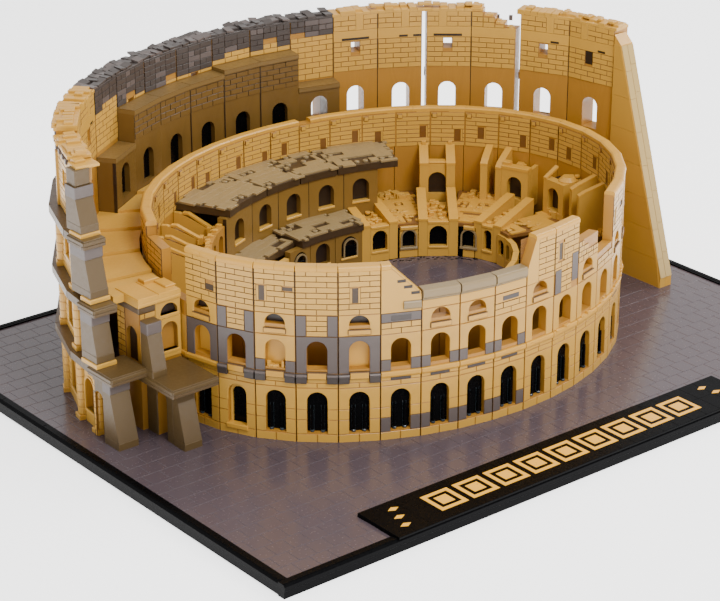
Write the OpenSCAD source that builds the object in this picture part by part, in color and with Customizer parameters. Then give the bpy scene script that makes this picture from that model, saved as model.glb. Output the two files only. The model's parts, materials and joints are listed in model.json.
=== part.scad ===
// Brick-built display model of a ruined oval amphitheatre on a framed, tiled base.
// Origin: centre of the underside of the base. +X runs along the long front edge, +Z is up.
// The walls follow ellipses. Every wall is made of flat panels, as the toy bricks allow.

/* [Base] */
// Length of the base along X
base_l = 640; // [632:4:680]
// Depth of the base along Y
base_w = 512; // [504:4:560]
// Height of the tiled floor above the table
floor_z = 9.6; // [8:0.8:12]
// Width of the raised frame round the floor
frame_w = 8; // [6:0.5:8]
// Length of the nameplate
plate_l = 376; // [300:4:400]
// Depth of the nameplate, its lip over the frame included
plate_w = 48; // [40:1:56]

/* [Ring wall] */
// Half length of the ring wall, outer face
ring_a = 218.4; // [214:0.4:220]
// Half width of the ring wall, outer face
ring_b = 170.7; // [168:0.3:172]
// Thickness of the ring wall
ring_t = 8; // [7:0.5:8]
// Height of the whole ring wall
ring_top = 158.4; // [150:1.2:160]
// Height of the broken-down stretch of the ring wall
low_top = 134.4; // [130:1.2:138]

/* [Outer wall] */
// Half length of the outer wall, inner face
outer_a = 266; // [264:1:268]
// Half width of the outer wall, inner face
outer_b = 212; // [210:1:214]
// Thickness of the outer wall
outer_t = 16; // [14:1:16]
// Height of the outer wall without its loose top tiles
outer_top = 233.6; // [224:1.6:240]

/* [Arena and seating] */
// Height of the arena floor
arena_z = 48; // [44:1:50]
// Distance from the ring wall in to the arena wall
arena_d = 84; // [80:1:86]
// Distance from the ring wall in to the upper arcade
arcade_d = 49; // [46:1:50]
// Height of the upper terrace
terrace_z = 128; // [124:1:130]
// Height of the lower terrace
lower_z = 86.4; // [84:0.8:88]

/* [Hidden] */
$fn = 48;
stud = 8;
plate_h = 3.2;
seam = 0.6;
bowl_y = 18.5;
gap = 0.3;
ring_panels = 38;
ring_in_a = ring_a - ring_t;
ring_in_b = ring_b - ring_t;
frame_z = floor_z + 1.6;
plate_z = floor_z + plate_h;
cap_h = plate_h;
arch_w = 2 * stud;
arch_sill = 17.6;
arch_top = 52.8;
loggia_sill = 72;
loggia_top = 96;
lunette_sill = 109;
lunette_top = 117.5;
bay_sill = 137.6;
bay_top = 166.4;
levels = [70.4, 121.6, 172.8];
cornice_d = 9;
left_extra = 4;
gallery_d = 16;
gallery_z = 204.8;
gallery_low_z = 176;
walkway_z = 121.6;
walkway_step = 2.4;
walkway_t = 6.4;
tan_c = [0.84, 0.68, 0.42];
light_c = [0.87, 0.74, 0.50];
dark_tan_c = [0.60, 0.48, 0.32];
slate_c = [0.42, 0.38, 0.40];
black_c = [0.07, 0.07, 0.08];
gold_c = [0.93, 0.76, 0.38];

// Seams of the outer wall, counted from the right-hand end, as even arc-length angles
outer_seams = [1.4, 13.4, 25.3, 35.5, 45.6, 55.8, 65.9, 76.1, 86.3, 96.4, 106.6, 116.7, 126.9,
    137.1, 147.2, 159.2, 171.1, 178];
outer_bays = len(outer_seams) - 1;

// ---- Curves ----
function ell(a, b, t) = [a * cos(t), b * sin(t)];
function outward(a, b, t) = let (v = [cos(t) / a, sin(t) / b]) v / norm(v);
function even(a, b, u) = u + 90 / PI * (a - b) / (a + b) * sin(2 * u);
function ring_u(k) = 270 + k * 360 / ring_panels;
function ring_t_of(k) = even(ring_a, ring_b, ring_u(k));
function inset(t, d) = ell(ring_in_a, ring_in_b, t) - d * outward(ring_in_a, ring_in_b, t);
function outer_pt(i, d) = let (t = even(outer_a, outer_b, outer_seams[i]), a = t > 90 ? outer_a + left_extra : outer_a)
    ell(a, outer_b, t) + d * outward(a, outer_b, t);

// Local frame on a chord from p to q: x runs from p to q, y to its left
module at_chord(p, q) {
    translate([p.x, p.y, 0]) rotate(atan2(q.y - p.y, q.x - p.x)) children();
}

// Local frame at distance d inside the ring wall: y points out to the ring wall, x clockwise
module at_inset(t, d) {
    p = inset(t, d);
    n = outward(ring_in_a, ring_in_b, t);
    translate([p.x, p.y, 0]) rotate(atan2(n.y, n.x) - 90) children();
}

// One upright wall panel. p and q are its outer corners, r and s the inner corners behind q and p.
// The joint beside each neighbour is open by before / 2 and after / 2.
module panel(p, q, r, s, z0, z1, before = seam, after = seam) {
    along = (q - p) / norm(q - p);
    translate([0, 0, z0]) linear_extrude(z1 - z0) polygon([p + along * before / 2, q - along * after / 2,
        r - along * after / 2, s + along * before / 2]);
}

// Round-headed opening through a wall that stands on y = 0 and is deep thick
module arch_hole(x, z0, z1, w, deep) {
    r = w / 2;
    translate([x - r, -1, z0]) cube([w, deep + 2, z1 - r - z0]);
    intersection() {
        translate([x, deep + 1, z1 - r]) rotate([90, 0, 0]) cylinder(r = r, h = deep + 2);
        translate([x - w, -2, z0]) cube([2 * w, deep + 4, z1 - z0 + 1]);
    }
}

// Upright outline in the y-z plane, w wide along x and centred on x
module fin(x, w, points) {
    translate([x - w / 2, 0, 0]) rotate([90, 0, 90]) linear_extrude(w) polygon(points);
}

// Flat slab between two angles and two distances inside the ring wall
module slab(t0, t1, d0, d1, z0, z1, steps = 3) {
    outer_side = [for (i = [0:steps]) inset(t0 + (t1 - t0) * i / steps, d0)];
    inner_side = [for (i = [0:steps]) inset(t1 - (t1 - t0) * i / steps, d1)];
    translate([0, 0, z0]) linear_extrude(z1 - z0) polygon(concat(outer_side, inner_side));
}

module in_bowl() {
    translate([0, bowl_y, 0]) children();
}

// ---- Base ----
module base_plate() {
    color(black_c) translate([-base_l / 2 + frame_w, -base_w / 2 + frame_w, 0])
        cube([base_l - 2 * frame_w, base_w - 2 * frame_w, floor_z - plate_h]);
}

module floor_tiles() {
    color([0.44, 0.39, 0.42]) translate([-base_l / 2 + frame_w, -base_w / 2 + frame_w, floor_z - plate_h])
        cube([base_l - 2 * frame_w, base_w - 2 * frame_w, plate_h]);
}

// Stepped frame bar along x, its outer face on y = 0
module frame_bar(length) {
    color(black_c) translate([-length / 2, 0, 0]) rotate([90, 0, 90]) linear_extrude(length)
        polygon([[0.8, 0], [frame_w, 0], [frame_w, frame_z], [1.6, frame_z], [0, frame_z - 1.6],
            [0, floor_z - plate_h], [0.8, floor_z - plate_h - 0.8]]);
}

module frame_front() {
    translate([0, -base_w / 2, 0]) frame_bar(base_l);
}

module frame_back() {
    translate([0, base_w / 2, 0]) rotate(180) frame_bar(base_l);
}

module frame_left() {
    translate([-base_l / 2, 0, 0]) rotate(-90) frame_bar(base_w - 2 * frame_w);
}

module frame_right() {
    translate([base_l / 2, 0, 0]) rotate(90) frame_bar(base_w - 2 * frame_w);
}

// Black strip on the floor with a lip that covers the front frame bar
plate_x = -base_l / 2 + 13 * stud;
module nameplate() {
    color(black_c) translate([plate_x, -base_w / 2, 0]) {
        translate([0, frame_w, floor_z]) cube([plate_l, plate_w - frame_w, plate_h]);
        translate([0, 0, frame_z]) cube([plate_l, frame_w + 0.01, plate_z - frame_z]);
    }
}

// Plain ornament on the nameplate: lozenges at the ends and a row of square knots
inlay_h = 0.5;
knot_count = 9;
module lozenge(x, y, s) {
    translate([x, y]) polygon([[-s, 0], [0, -s * 0.55], [s, 0], [0, s * 0.55]]);
}

module knot(size, bar) {
    difference() {
        square(size, center = true);
        square(size - 2 * bar, center = true);
    }
    square(size - 4 * bar, center = true);
}

module nameplate_inlay() {
    pitch = (plate_l - 12 * stud) / knot_count;
    color(gold_c) translate([plate_x, -base_w / 2, plate_z]) linear_extrude(inlay_h) {
        for (i = [0:knot_count - 1]) translate([6 * stud + pitch * (i + 0.5), plate_w / 2]) knot(26, 3.6);
        for (side = [0, 1]) for (i = [-1:1])
            lozenge(side * plate_l + (1 - 2 * side) * (20 + 4 * i), plate_w / 2 + 12 * i, 5);
    }
}

// ---- Ring wall ----
// Top of panel k: whole, broken down at the front, or a stump at the left-hand breach
function panel_top(k) = k >= 35 && k <= 37 ? low_top : k == 2 ? 136 : k == 3 ? 115.2
    : k == 27 ? 145.6 : k == 28 ? 112 : ring_top;
function has_cap(k) = k < 2 || (k > 3 && k < 27) || k > 28;

// The openings go right through at the front and are shallow niches round the back
function opening_depth(k) = k >= 28 || k <= 4 ? ring_t : 5;

// The blind panels carry masonry instead of a half-round window
function has_lunette(k) = k != 30 && k != 32 && k != 34 && k != 37 && k != 1 && k != 3 && k != 28;

// The whole top of panel k ends at this share of its width, where the break slopes down
function slope_from(k) = k == 34 ? 0.25 : 0.7;

module ring_panel(k) {
    p = ell(ring_a, ring_b, ring_t_of(k));
    q = ell(ring_a, ring_b, ring_t_of(k + 1));
    w = norm(q - p);
    top = panel_top(k) - (has_cap(k) ? cap_h : 0);
    deep = opening_depth(k);
    difference() {
        panel(p, q, inset(ring_t_of(k + 1), 0), inset(ring_t_of(k), 0), floor_z, top);
        at_chord(p, q) {
            arch_hole(w / 2, arch_sill, arch_top, arch_w, ring_t);
            arch_hole(w / 2, loggia_sill, loggia_top, arch_w, deep - 1);
            if (has_lunette(k)) arch_hole(w / 2, lunette_sill, lunette_top, arch_w, deep - 1);
            if (k == 34 || k == 0) translate([k == 0 ? w : 0, ring_t + 1, 0]) mirror([k == 0 ? 1 : 0, 0, 0])
                rotate([90, 0, 0]) linear_extrude(ring_t + 2) polygon([[w * slope_from(k), ring_top + 1],
                    [w * slope_from(k), ring_top - cap_h], [w, low_top - cap_h], [w, ring_top + 1]]);
        }
    }
}

module ring_wall(first, count) {
    color(tan_c) in_bowl() for (k = [first:first + count - 1]) ring_panel(k % ring_panels);
}

// Rounded cap tiles along the top, one on each whole panel
module ring_rim() {
    color(light_c) in_bowl() for (k = [0:ring_panels - 1]) if (has_cap(k)) {
        p = ell(ring_a, ring_b, ring_t_of(k));
        q = ell(ring_a, ring_b, ring_t_of(k + 1));
        w = norm(q - p) - seam;
        from = k == 0 ? w * (1 - slope_from(k)) : 0;
        to = k == 34 ? w * slope_from(k) : k == 17 ? w - 12 : w;
        at_chord(p, q) translate([seam / 2 + from, 0, panel_top(k) - cap_h]) cube([to - from, ring_t, cap_h]);
    }
}

// Slim round posts, a pair in each ground arch
module ring_posts() {
    color(black_c) in_bowl() for (k = [0:ring_panels - 1]) if (k < 27 || (k > 28 && k != 30)) {
        p = ell(ring_a, ring_b, ring_t_of(k));
        q = ell(ring_a, ring_b, ring_t_of(k + 1));
        at_chord(p, q) for (side = [-1, 1]) translate([norm(q - p) / 2 + side * 4.2, 2.2, arch_sill])
            cylinder(r = 1.2, h = 20.8);
    }
}

// Dark blocks under the pilasters of the four tall front panels
module ring_brackets() {
    color(slate_c) in_bowl() for (k = [30:33]) {
        p = ell(ring_a, ring_b, ring_t_of(k));
        q = ell(ring_a, ring_b, ring_t_of(k + 1));
        w = norm(q - p);
        at_chord(p, q) for (x = [0.4, w - 8.4]) translate([x, -3, 60.8]) cube([8, 3, 7.2]);
    }
}

// Narrow ledge above the ground arches of the other panels
module ring_ledge() {
    color(light_c) in_bowl() for (k = [0:ring_panels - 1]) if (k < 26 || k > 33) {
        p = ell(ring_a, ring_b, ring_t_of(k));
        q = ell(ring_a, ring_b, ring_t_of(k + 1));
        at_chord(p, q) translate([0.4, -2.4, 64]) cube([norm(q - p) - 0.8, 2.4, 4.8]);
    }
}

// Dark inner wall that closes the ground arches from behind
module arcade_core() {
    color(black_c) in_bowl() for (k = [0:ring_panels - 1]) {
        p = inset(ring_t_of(k), gap);
        q = inset(ring_t_of(k + 1), gap);
        at_chord(p, q) translate([1, 0, floor_z]) cube([norm(q - p) - 2, 4, 48]);
    }
}

// ---- Outer wall ----
// Two of the joints stand open, so light shows through them
function joint_at(i) = i == 2 || i == 4 ? 4.4 : seam;

// The top drops a little towards the left-hand end
function outer_top_of(i) = i == 15 ? outer_top - 4.8 : i == 16 ? outer_top - 8 : outer_top;

module outer_bay(i) {
    p = outer_pt(i, outer_t);
    q = outer_pt(i + 1, outer_t);
    w = norm(q - p);
    difference() {
        panel(p, q, outer_pt(i + 1, 0), outer_pt(i, 0), floor_z, outer_top_of(i), joint_at(i), joint_at(i + 1));
        at_chord(p, q) {
            arch_hole(w / 2, 21.6, 50.4, arch_w, outer_t);
            arch_hole(w / 2, 80, 108.8, arch_w, outer_t);
            arch_hole(w / 2, bay_sill, bay_top, arch_w, outer_t);
            if (i % 2 == 1) translate([w / 2 - stud / 2, -1, 198.4]) cube([stud, outer_t + 2, 9.6]);
            if (i == 2) for (v = [[0.3, 217.6], [0.5, 222.4], [0.75, 228.8]])
                translate([-1, -1, v[1]]) cube([w * v[0] + 1, outer_t + 2, outer_top]);
        }
    }
}

module outer_wall(first, count = 2) {
    color(tan_c) in_bowl() for (i = [first:first + count - 1]) outer_bay(i);
}

// The last stretch steps back at each storey, where the stepped piers stand
module outer_wall_end() {
    difference() {
        outer_wall(14, 3);
        for (v = [[levels[0] - 3.2, 37.4], [levels[1] - 3.2, 50.6], [levels[2] - 3.2, 55]])
            translate([-base_l / 2, 0, v[0]]) cube([80, v[1], outer_top]);
    }
}

// Cornice strips on the outside at each storey
module outer_cornices() {
    color(dark_tan_c) in_bowl() for (i = [0:outer_bays - 1]) {
        p = outer_pt(i, outer_t + cornice_d);
        q = outer_pt(i + 1, outer_t + cornice_d);
        from = joint_at(i) / 2 + gap;
        to = norm(q - p) - joint_at(i + 1) / 2 - gap;
        at_chord(p, q) for (z = levels) translate([from, 0, z - 6.4]) cube([to - from, cornice_d - gap, 6.4]);
    }
}

// Half-round columns between the bays on three storeys, except at the open joints;
// only the lowest one is left at the broken end
module half_columns() {
    foot = [floor_z, levels[0], levels[1]];
    color(tan_c) in_bowl() for (i = [0:outer_bays]) if (joint_at(i) == seam) for (s = [0:(i == outer_bays ? 0 : 2)]) {
        p = outer_pt(i, outer_t + 0.2);
        n = outward(outer_a, outer_b, even(outer_a, outer_b, outer_seams[i]));
        translate([p.x, p.y, foot[s]]) rotate(atan2(n.y, n.x)) intersection() {
            cylinder(r = 4, h = levels[s] - foot[s] - 6.4);
            translate([0, -5, 0]) cube([5, 10, 100]);
        }
    }
}

// Loose tiles that make the jagged top; the heights repeat in a fixed pattern
crest_steps = [3.2, 6.4, 4.8, 1.6, 3.2, 4.8, 3.2];
module crest_tiles() {
    color(light_c) in_bowl() for (i = [0:outer_bays - 1]) {
        p = outer_pt(i, outer_t + 5);
        q = outer_pt(i + 1, outer_t + 5);
        n = floor(norm(q - p) / stud);
        at_chord(p, q) for (j = [(i == 2 ? n - 1 : 0):(i == outer_bays - 1 ? 1 : n - 1)])
            translate([1 + j * stud, (j + i) % 3 * 0.4, outer_top_of(i)])
                cube([stud - 0.3, outer_t + 4, crest_steps[(j * 3 + i * 2) % 7]]);
    }
}

// ---- Buttress at the right-hand end, two layers and a sloped cap ----
buttress_foot = -65.6;
buttress_end = 6;
buttress_z = 224;
module buttress_layer(x0, x1) {
    translate([x0, bowl_y, 0]) fin((x1 - x0) / 2, x1 - x0, [[buttress_foot, floor_z],
        [buttress_end - 1, floor_z], [buttress_end - 1, buttress_z - 1.6], [buttress_foot + 62, buttress_z - 1.6],
        [buttress_foot, floor_z + 9.6]]);
}

module buttress_inner() {
    color(tan_c) buttress_layer(264.4, 271.2);
}

module buttress_outer() {
    color(tan_c) buttress_layer(271.4, 278.4);
}

module buttress_cap() {
    color(light_c) translate([264.4, bowl_y, 0]) fin(7, 14, [[buttress_foot + 62, buttress_z - 1.6],
        [buttress_end - 1, buttress_z - 1.6], [buttress_end - 1, buttress_z + 6.4]]);
}

// ---- Gallery against the inside of the outer wall ----
// Only the low right-hand bay is open behind its arch; the others have a shallow niche
module gallery_bay(i, top, through = false) {
    p = outer_pt(i, -gap);
    q = outer_pt(i + 1, -gap);
    r = outer_pt(i + 1, -gallery_d);
    s = outer_pt(i, -gallery_d);
    mid = (r + s) / 2;
    difference() {
        translate([0, 0, floor_z]) linear_extrude(top - floor_z) polygon([p, q, r, s]);
        translate([mid.x, mid.y, 0]) rotate(atan2(r.y - s.y, r.x - s.x) + 180)
            arch_hole(0, bay_sill, bay_top, arch_w, through ? 2 * gallery_d : 6);
    }
}

module gallery_left() {
    color(dark_tan_c) in_bowl() union() {
        gallery_bay(9, gallery_z - plate_h);
        gallery_bay(10, gallery_z - plate_h);
        gallery_bay(11, gallery_z - plate_h);
    }
}

module gallery_centre() {
    color(dark_tan_c) in_bowl() union() {
        gallery_bay(7, gallery_z);
        gallery_bay(8, gallery_z);
    }
}

module gallery_right() {
    color(dark_tan_c) in_bowl() gallery_bay(6, gallery_low_z - plate_h, true);
}

module gallery_low_end() {
    color(dark_tan_c) in_bowl() gallery_bay(12, gallery_low_z - plate_h);
}

module gallery_roof() {
    color(dark_tan_c) in_bowl() for (i = [6:12]) {
        top = i == 6 || i == 12 ? gallery_low_z : i < 9 ? gallery_z + plate_h : gallery_z;
        translate([0, 0, top - plate_h]) linear_extrude(plate_h) polygon([outer_pt(i, -gap),
            outer_pt(i + 1, -gap), outer_pt(i + 1, -gallery_d - 1.2), outer_pt(i, -gallery_d - 1.2)]);
    }
}

// ---- Walkway between the ring wall and the outer wall, stepping up from the left-hand end ----
function walkway_top(i) = i == 16 ? walkway_z : min(136, walkway_z + walkway_step * (16 - i));

module walkway_slab(i) {
    back = i < 13 ? -gallery_d - gap : -gap;
    t0 = even(ring_a, ring_b, outer_seams[i] + 0.25);
    t1 = even(ring_a, ring_b, outer_seams[i + 1] - 0.25);
    translate([0, 0, walkway_top(i) - walkway_t]) linear_extrude(walkway_t)
        polygon([outer_pt(i, back), outer_pt(i + 1, back), ell(ring_a + 2.8, ring_b + 2.8, t1),
            ell(ring_a + 2.8, ring_b + 2.8, (t0 + t1) / 2), ell(ring_a + 2.8, ring_b + 2.8, t0)]);
}

module walkway_slabs() {
    color(light_c) in_bowl() for (i = [9:15]) walkway_slab(i);
    color(light_c) difference() {
        in_bowl() walkway_slab(16);
        translate([-259, -20, 0]) cube([60, 60.4, 200]);
    }
    color(light_c) translate([-259.6, 7, walkway_z - walkway_t]) cube([40, 33, walkway_t]);
}

// ---- Stepped ruin at the left-hand end ----
// Spur walls behind the two front piers: [x0, x1, y0, y1, z1, middle of the arch along y]
spurs = [[-291.6, -277, 10.4, 26, 64, 18.2], [-253, -239, -27, 8.4, 57.6, -12]];

// Corner bay beside the end of the ring wall, with arches to the front and to the left
corner = [-258, -219, 9, 39, 115.2];
module west_bays() {
    color(tan_c) for (v = spurs) difference() {
        translate([v[0], v[2], floor_z]) cube([v[1] - v[0], v[3] - v[2], v[4] - floor_z]);
        translate([v[0], v[5], 0]) rotate(-90) arch_hole(0, floor_z - 1, 50.4, 12.8, v[1] - v[0]);
    }
    color(tan_c) difference() {
        translate([corner[0], corner[2], floor_z]) cube([39, 30, corner[4] - floor_z]);
        translate([-230, corner[2], 0]) {
            arch_hole(0, arch_sill, 50.4, 13, 4);
            arch_hole(0, loggia_sill, loggia_top, 15, 4);
            arch_hole(0, 103, 112, 16, 4);
        }
        translate([corner[0], 20, 0]) rotate(-90) arch_hole(0, loggia_sill - 6, loggia_top, 15, 4);
    }
}

// Sloping piers, each with a square foot, a sloped front and a capital:
// [x, y of the front face at the foot, width, depth, foot z, top z, lean of the front]
piers = [[-293.5, -10, 18, 20, floor_z, 64, 10], [-294, 15.5, 16, 21, 74.8, 115.2, 5],
    [-292, 23, 16, 26.6, 126.4, 166.4, 6], [-291, 34, 16, 20, 176.4, 212.8, 6],
    [-254, -42.5, 16, 15, floor_z, 57.6, 8], [-263, -15, 13, 15, 64, 108.8, 6]];
module west_piers() {
    color([0.66, 0.58, 0.44]) for (v = piers) {
        foot = v[4] + 6.4;
        neck = v[5] - 9.6;
        translate([v[0] + v[2] / 2, v[1], 0]) fin(0, v[2], [[0, v[4]], [v[3], v[4]], [v[3], v[5]],
            [v[6], v[5]], [v[6], neck], [0, foot]]);
    }
    color([0.66, 0.58, 0.44]) translate([-289.5, 41.6, 212]) cube([13, 11.8, 13.6]);
}

// Platforms between the storeys and the blocks under the upper piers: [x0, x1, y0, y1, top z]
platforms = [[-296, -262, -7, 26, 70.4], [-296, -275, 13, 36, 121.6], [-294, -274.4, 26, 49, 172.8],
    [-264, -221, -43, 7, 64], [-295, -277, 14.2, 35.6, 74.8], [-293.2, -275.4, 21.8, 35.4, 126.4],
    [-292.2, -274.8, 32.8, 48.6, 176.4]];
module west_platforms() {
    color(light_c) for (v = platforms)
        translate([v[0], v[2], v[4] - 6.4]) cube([v[1] - v[0], v[3] - v[2], 6.4]);
}

// ---- Seating ----
// Joints of the arcades, as angles; each stretch between two joints has one arch
upper_joints = [64.9, 76.3, 88.5, 100.2, 112, 128.2];
side_joints = [128.6, 137, 145.6, 154.6];
lower_joints = [75.9, 87.3, 98.5, 109];

// A flat stretch of arcade facing the arena at distance d, with an arch in the middle
module arcade_panel(t0, t1, d, thick, z0, z1, sill, crown, w) {
    p = inset(t0, d - thick);
    q = inset(t1, d - thick);
    r = inset(t1, d);
    s = inset(t0, d);
    difference() {
        panel(p, q, r, s, z0, z1);
        at_chord(p, q) arch_hole(norm(q - p) / 2, sill, crown, w, thick);
    }
}

module arcade(joints, d, thick, z0, z1, sill, crown, w) {
    for (i = [0:len(joints) - 2]) arcade_panel(joints[i], joints[i + 1], d, thick, z0, z1, sill, crown, w);
}

module upper_arcade() {
    color(dark_tan_c) in_bowl() arcade(upper_joints, arcade_d, 8, arena_z, terrace_z - 6.4, 93.6, 114.4, arch_w);
}

module upper_terrace() {
    cuts = [58.2, 78.7, 92, 105.6, 126.8];
    color([0.60, 0.56, 0.50]) in_bowl() for (i = [0:3])
        slab(cuts[i] + 0.2, cuts[i + 1] - 0.2, gap + 0.3, arcade_d + 2, terrace_z - 6.4 + gap, terrace_z);
}

module side_arcade() {
    color(tan_c) in_bowl() arcade(side_joints, arcade_d - 1, 6, arena_z, 116, 93.6, 110.4, 12);
}

// Radial walls with sloped tops at the left
module side_fins() {
    color(light_c) in_bowl() for (t = [127.6, 137, 145.6, 155])
        at_inset(t, arcade_d - 8) fin(0, 4, [[0, arena_z], [arcade_d - 9, arena_z], [arcade_d - 9, 121.6],
            [arcade_d - 14, 121.6], [0, 108]]);
}

module lower_arcade() {
    color(dark_tan_c) in_bowl() arcade(lower_joints, arena_d - 1, 6, arena_z, lower_z - 6.4, 57.6, 76.8, arch_w);
}

module lower_terrace() {
    color([0.60, 0.56, 0.50]) in_bowl() {
        slab(76, 103, arcade_d + 0.4, arena_d + 1, lower_z - 6.4 + gap, lower_z);
        slab(103.4, 128, arcade_d + 0.4, arena_d - 8, lower_z - 9.6, lower_z - 3.2);
    }
}

// Tower that stands against the ring wall: two fins with sloped tops and an arched wall between them
module tower_whole(t) {
    at_inset(t, 24) {
        for (side = [-1, 1]) fin(side * 12, 7.9, [[0, 76], [23.6, 76], [23.6, 124], [0, 112.8]]);
        translate([-8, 3, 76]) difference() {
            cube([16, 8, 36.8]);
            translate([8, 0, 0]) arch_hole(0, 7.2, 28, 15.9, 8);
        }
    }
}

// Broken tower: the left fin still slopes, the arched wall beside it ends level
module tower_broken(t, left_fin) {
    at_inset(t, 24) {
        if (left_fin) fin(-14, 6, [[0, 76], [23.6, 76], [23.6, 124.8], [4, 116], [0, 112]]);
        difference() {
            translate([-10.8, 0, 76]) cube([26, 8, 36.8]);
            arch_hole(2, 85.6, 106.4, 14, 8);
        }
        translate([11.2, 8.2, 76]) cube([4, 15, 36.8]);
    }
}

module lone_fin(t, w) {
    at_inset(t, 24) fin(0, w, [[0, 76], [23.6, 76], [23.6, 124.8], [6, 118], [0, 114.4]]);
}

module towers_upper() {
    color(tan_c) in_bowl() {
        tower_whole(44);
        lone_fin(28.6, 6.4);
        tower_broken(17.7, true);
        tower_broken(-1, false);
        lone_fin(-14, 5);
        lone_fin(-21, 5);
    }
}

// Tower on the arena wall: two fins that slope up to level tops, with a floor and an arched front between them
module tower_lower(t, half, w) {
    at_inset(t, arena_d) {
        for (side = [-1, 1]) fin(side * half, 7.9, [[0, arena_z], [56, arena_z], [56, 91.2], [0, 82.4]]);
        difference() {
            translate([4.1 - half, 0, arena_z]) cube([2 * half - 8.2, 7, 31.2]);
            arch_hole(0, 57.6, 76.8, w, 7);
        }
        translate([4.1 - half, 7.2, 72]) cube([2 * half - 8.2, 48, 6.4]);
    }
}

module towers_lower() {
    color(tan_c) in_bowl() {
        tower_lower(69.3, 13, 14);
        tower_lower(44.5, 13.5, 15.6);
        tower_lower(13, 10, 8);
    }
}

// Flat broken slabs between the towers
module rubble_slabs() {
    color(light_c) in_bowl() {
        slab(50.5, 64.5, 1, arena_d - 2, 76.3, 79.2, 2);
        slab(20.5, 37.5, 1, arena_d - 2, 76.3, 79.2, 2);
        slab(-12, 5, 1, arena_d - 2, 76.3, 79.2, 2);
    }
}

// Arena wall: framed arches between the towers and plain panels round the rest
side_from = 110;
side_step = 12;
side_count = 21;
module arena_wall() {
    color(tan_c) in_bowl() {
        for (t = [57.4, 27.6]) arcade_panel(t - 3.9, t + 3.9, arena_d - 1, 5, arena_z, 76, 57.6, 73.6, 12);
        for (i = [0:side_count - 1])
            arcade_panel(side_from + i * side_step, side_from + (i + 1) * side_step, arena_d, 5, arena_z, 76,
                57.6, 72, 8);
    }
}

// Plain tan wall seen through the arches of the second storey
module corridor_wall() {
    color(tan_c) in_bowl() for (k = [28:ring_panels + 4])
        panel(inset(ring_t_of(k), 26), inset(ring_t_of(k + 1), 26), inset(ring_t_of(k + 1), 32),
            inset(ring_t_of(k), 32), floor_z, 105.6);
}

module arena_floor() {
    points = [for (t = [0:6:354]) inset(t, arena_d + gap)];
    color([0.46, 0.42, 0.45]) in_bowl() translate([0, 0, floor_z]) linear_extrude(arena_z - floor_z) polygon(points);
}

base_plate();
floor_tiles();
frame_front();
frame_back();
frame_left();
frame_right();
nameplate();
nameplate_inlay();
arena_floor();
arcade_core();
ring_wall(29, 3);  // ring_wall_1
ring_wall(32, 3);  // ring_wall_2
ring_wall(35, 3);  // ring_wall_3
ring_wall(0, 3);  // ring_wall_4
ring_wall(3, 3);  // ring_wall_5
ring_wall(6, 3);  // ring_wall_6
ring_wall(9, 3);  // ring_wall_7
ring_wall(12, 4);  // ring_wall_8
ring_wall(16, 4);  // ring_wall_9
ring_wall(20, 3);  // ring_wall_10
ring_wall(23, 3);  // ring_wall_11
ring_wall(26, 3);  // ring_wall_12
ring_rim();
ring_posts();
ring_brackets();
ring_ledge();
outer_wall(0);  // outer_wall_1
outer_wall(2);  // outer_wall_2
outer_wall(4);  // outer_wall_3
outer_wall(6);  // outer_wall_4
outer_wall(8);  // outer_wall_5
outer_wall(10);  // outer_wall_6
outer_wall(12);  // outer_wall_7
outer_wall_end();  // outer_wall_8
outer_cornices();
half_columns();
crest_tiles();
buttress_inner();
buttress_outer();
buttress_cap();
gallery_left();
gallery_centre();
gallery_right();
gallery_low_end();
gallery_roof();
walkway_slabs();
west_bays();
west_piers();
west_platforms();
upper_arcade();
upper_terrace();
side_arcade();
side_fins();
lower_arcade();
lower_terrace();
towers_upper();
towers_lower();
rubble_slabs();
arena_wall();
corridor_wall();
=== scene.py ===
"""Looks of the brick-built amphitheatre: relief, tiles, studs, rubble and materials on the CAD frame."""

import json
import math
import random

import bmesh
import bpy
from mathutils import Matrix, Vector


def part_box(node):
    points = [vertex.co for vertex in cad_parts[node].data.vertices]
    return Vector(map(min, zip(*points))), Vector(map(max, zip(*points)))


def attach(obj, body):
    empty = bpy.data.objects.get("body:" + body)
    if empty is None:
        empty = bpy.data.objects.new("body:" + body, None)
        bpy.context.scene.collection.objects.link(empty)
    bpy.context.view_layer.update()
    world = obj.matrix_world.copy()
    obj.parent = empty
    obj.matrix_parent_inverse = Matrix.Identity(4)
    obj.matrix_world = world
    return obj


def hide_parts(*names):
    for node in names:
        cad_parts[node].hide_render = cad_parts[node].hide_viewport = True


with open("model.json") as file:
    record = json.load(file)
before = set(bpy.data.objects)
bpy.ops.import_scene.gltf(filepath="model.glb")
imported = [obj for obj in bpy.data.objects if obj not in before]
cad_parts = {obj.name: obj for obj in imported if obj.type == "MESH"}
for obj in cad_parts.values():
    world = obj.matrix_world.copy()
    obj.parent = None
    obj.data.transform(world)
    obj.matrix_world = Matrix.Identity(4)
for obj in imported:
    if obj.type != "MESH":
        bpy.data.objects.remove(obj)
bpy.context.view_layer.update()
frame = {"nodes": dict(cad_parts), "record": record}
random.seed(7)

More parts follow.
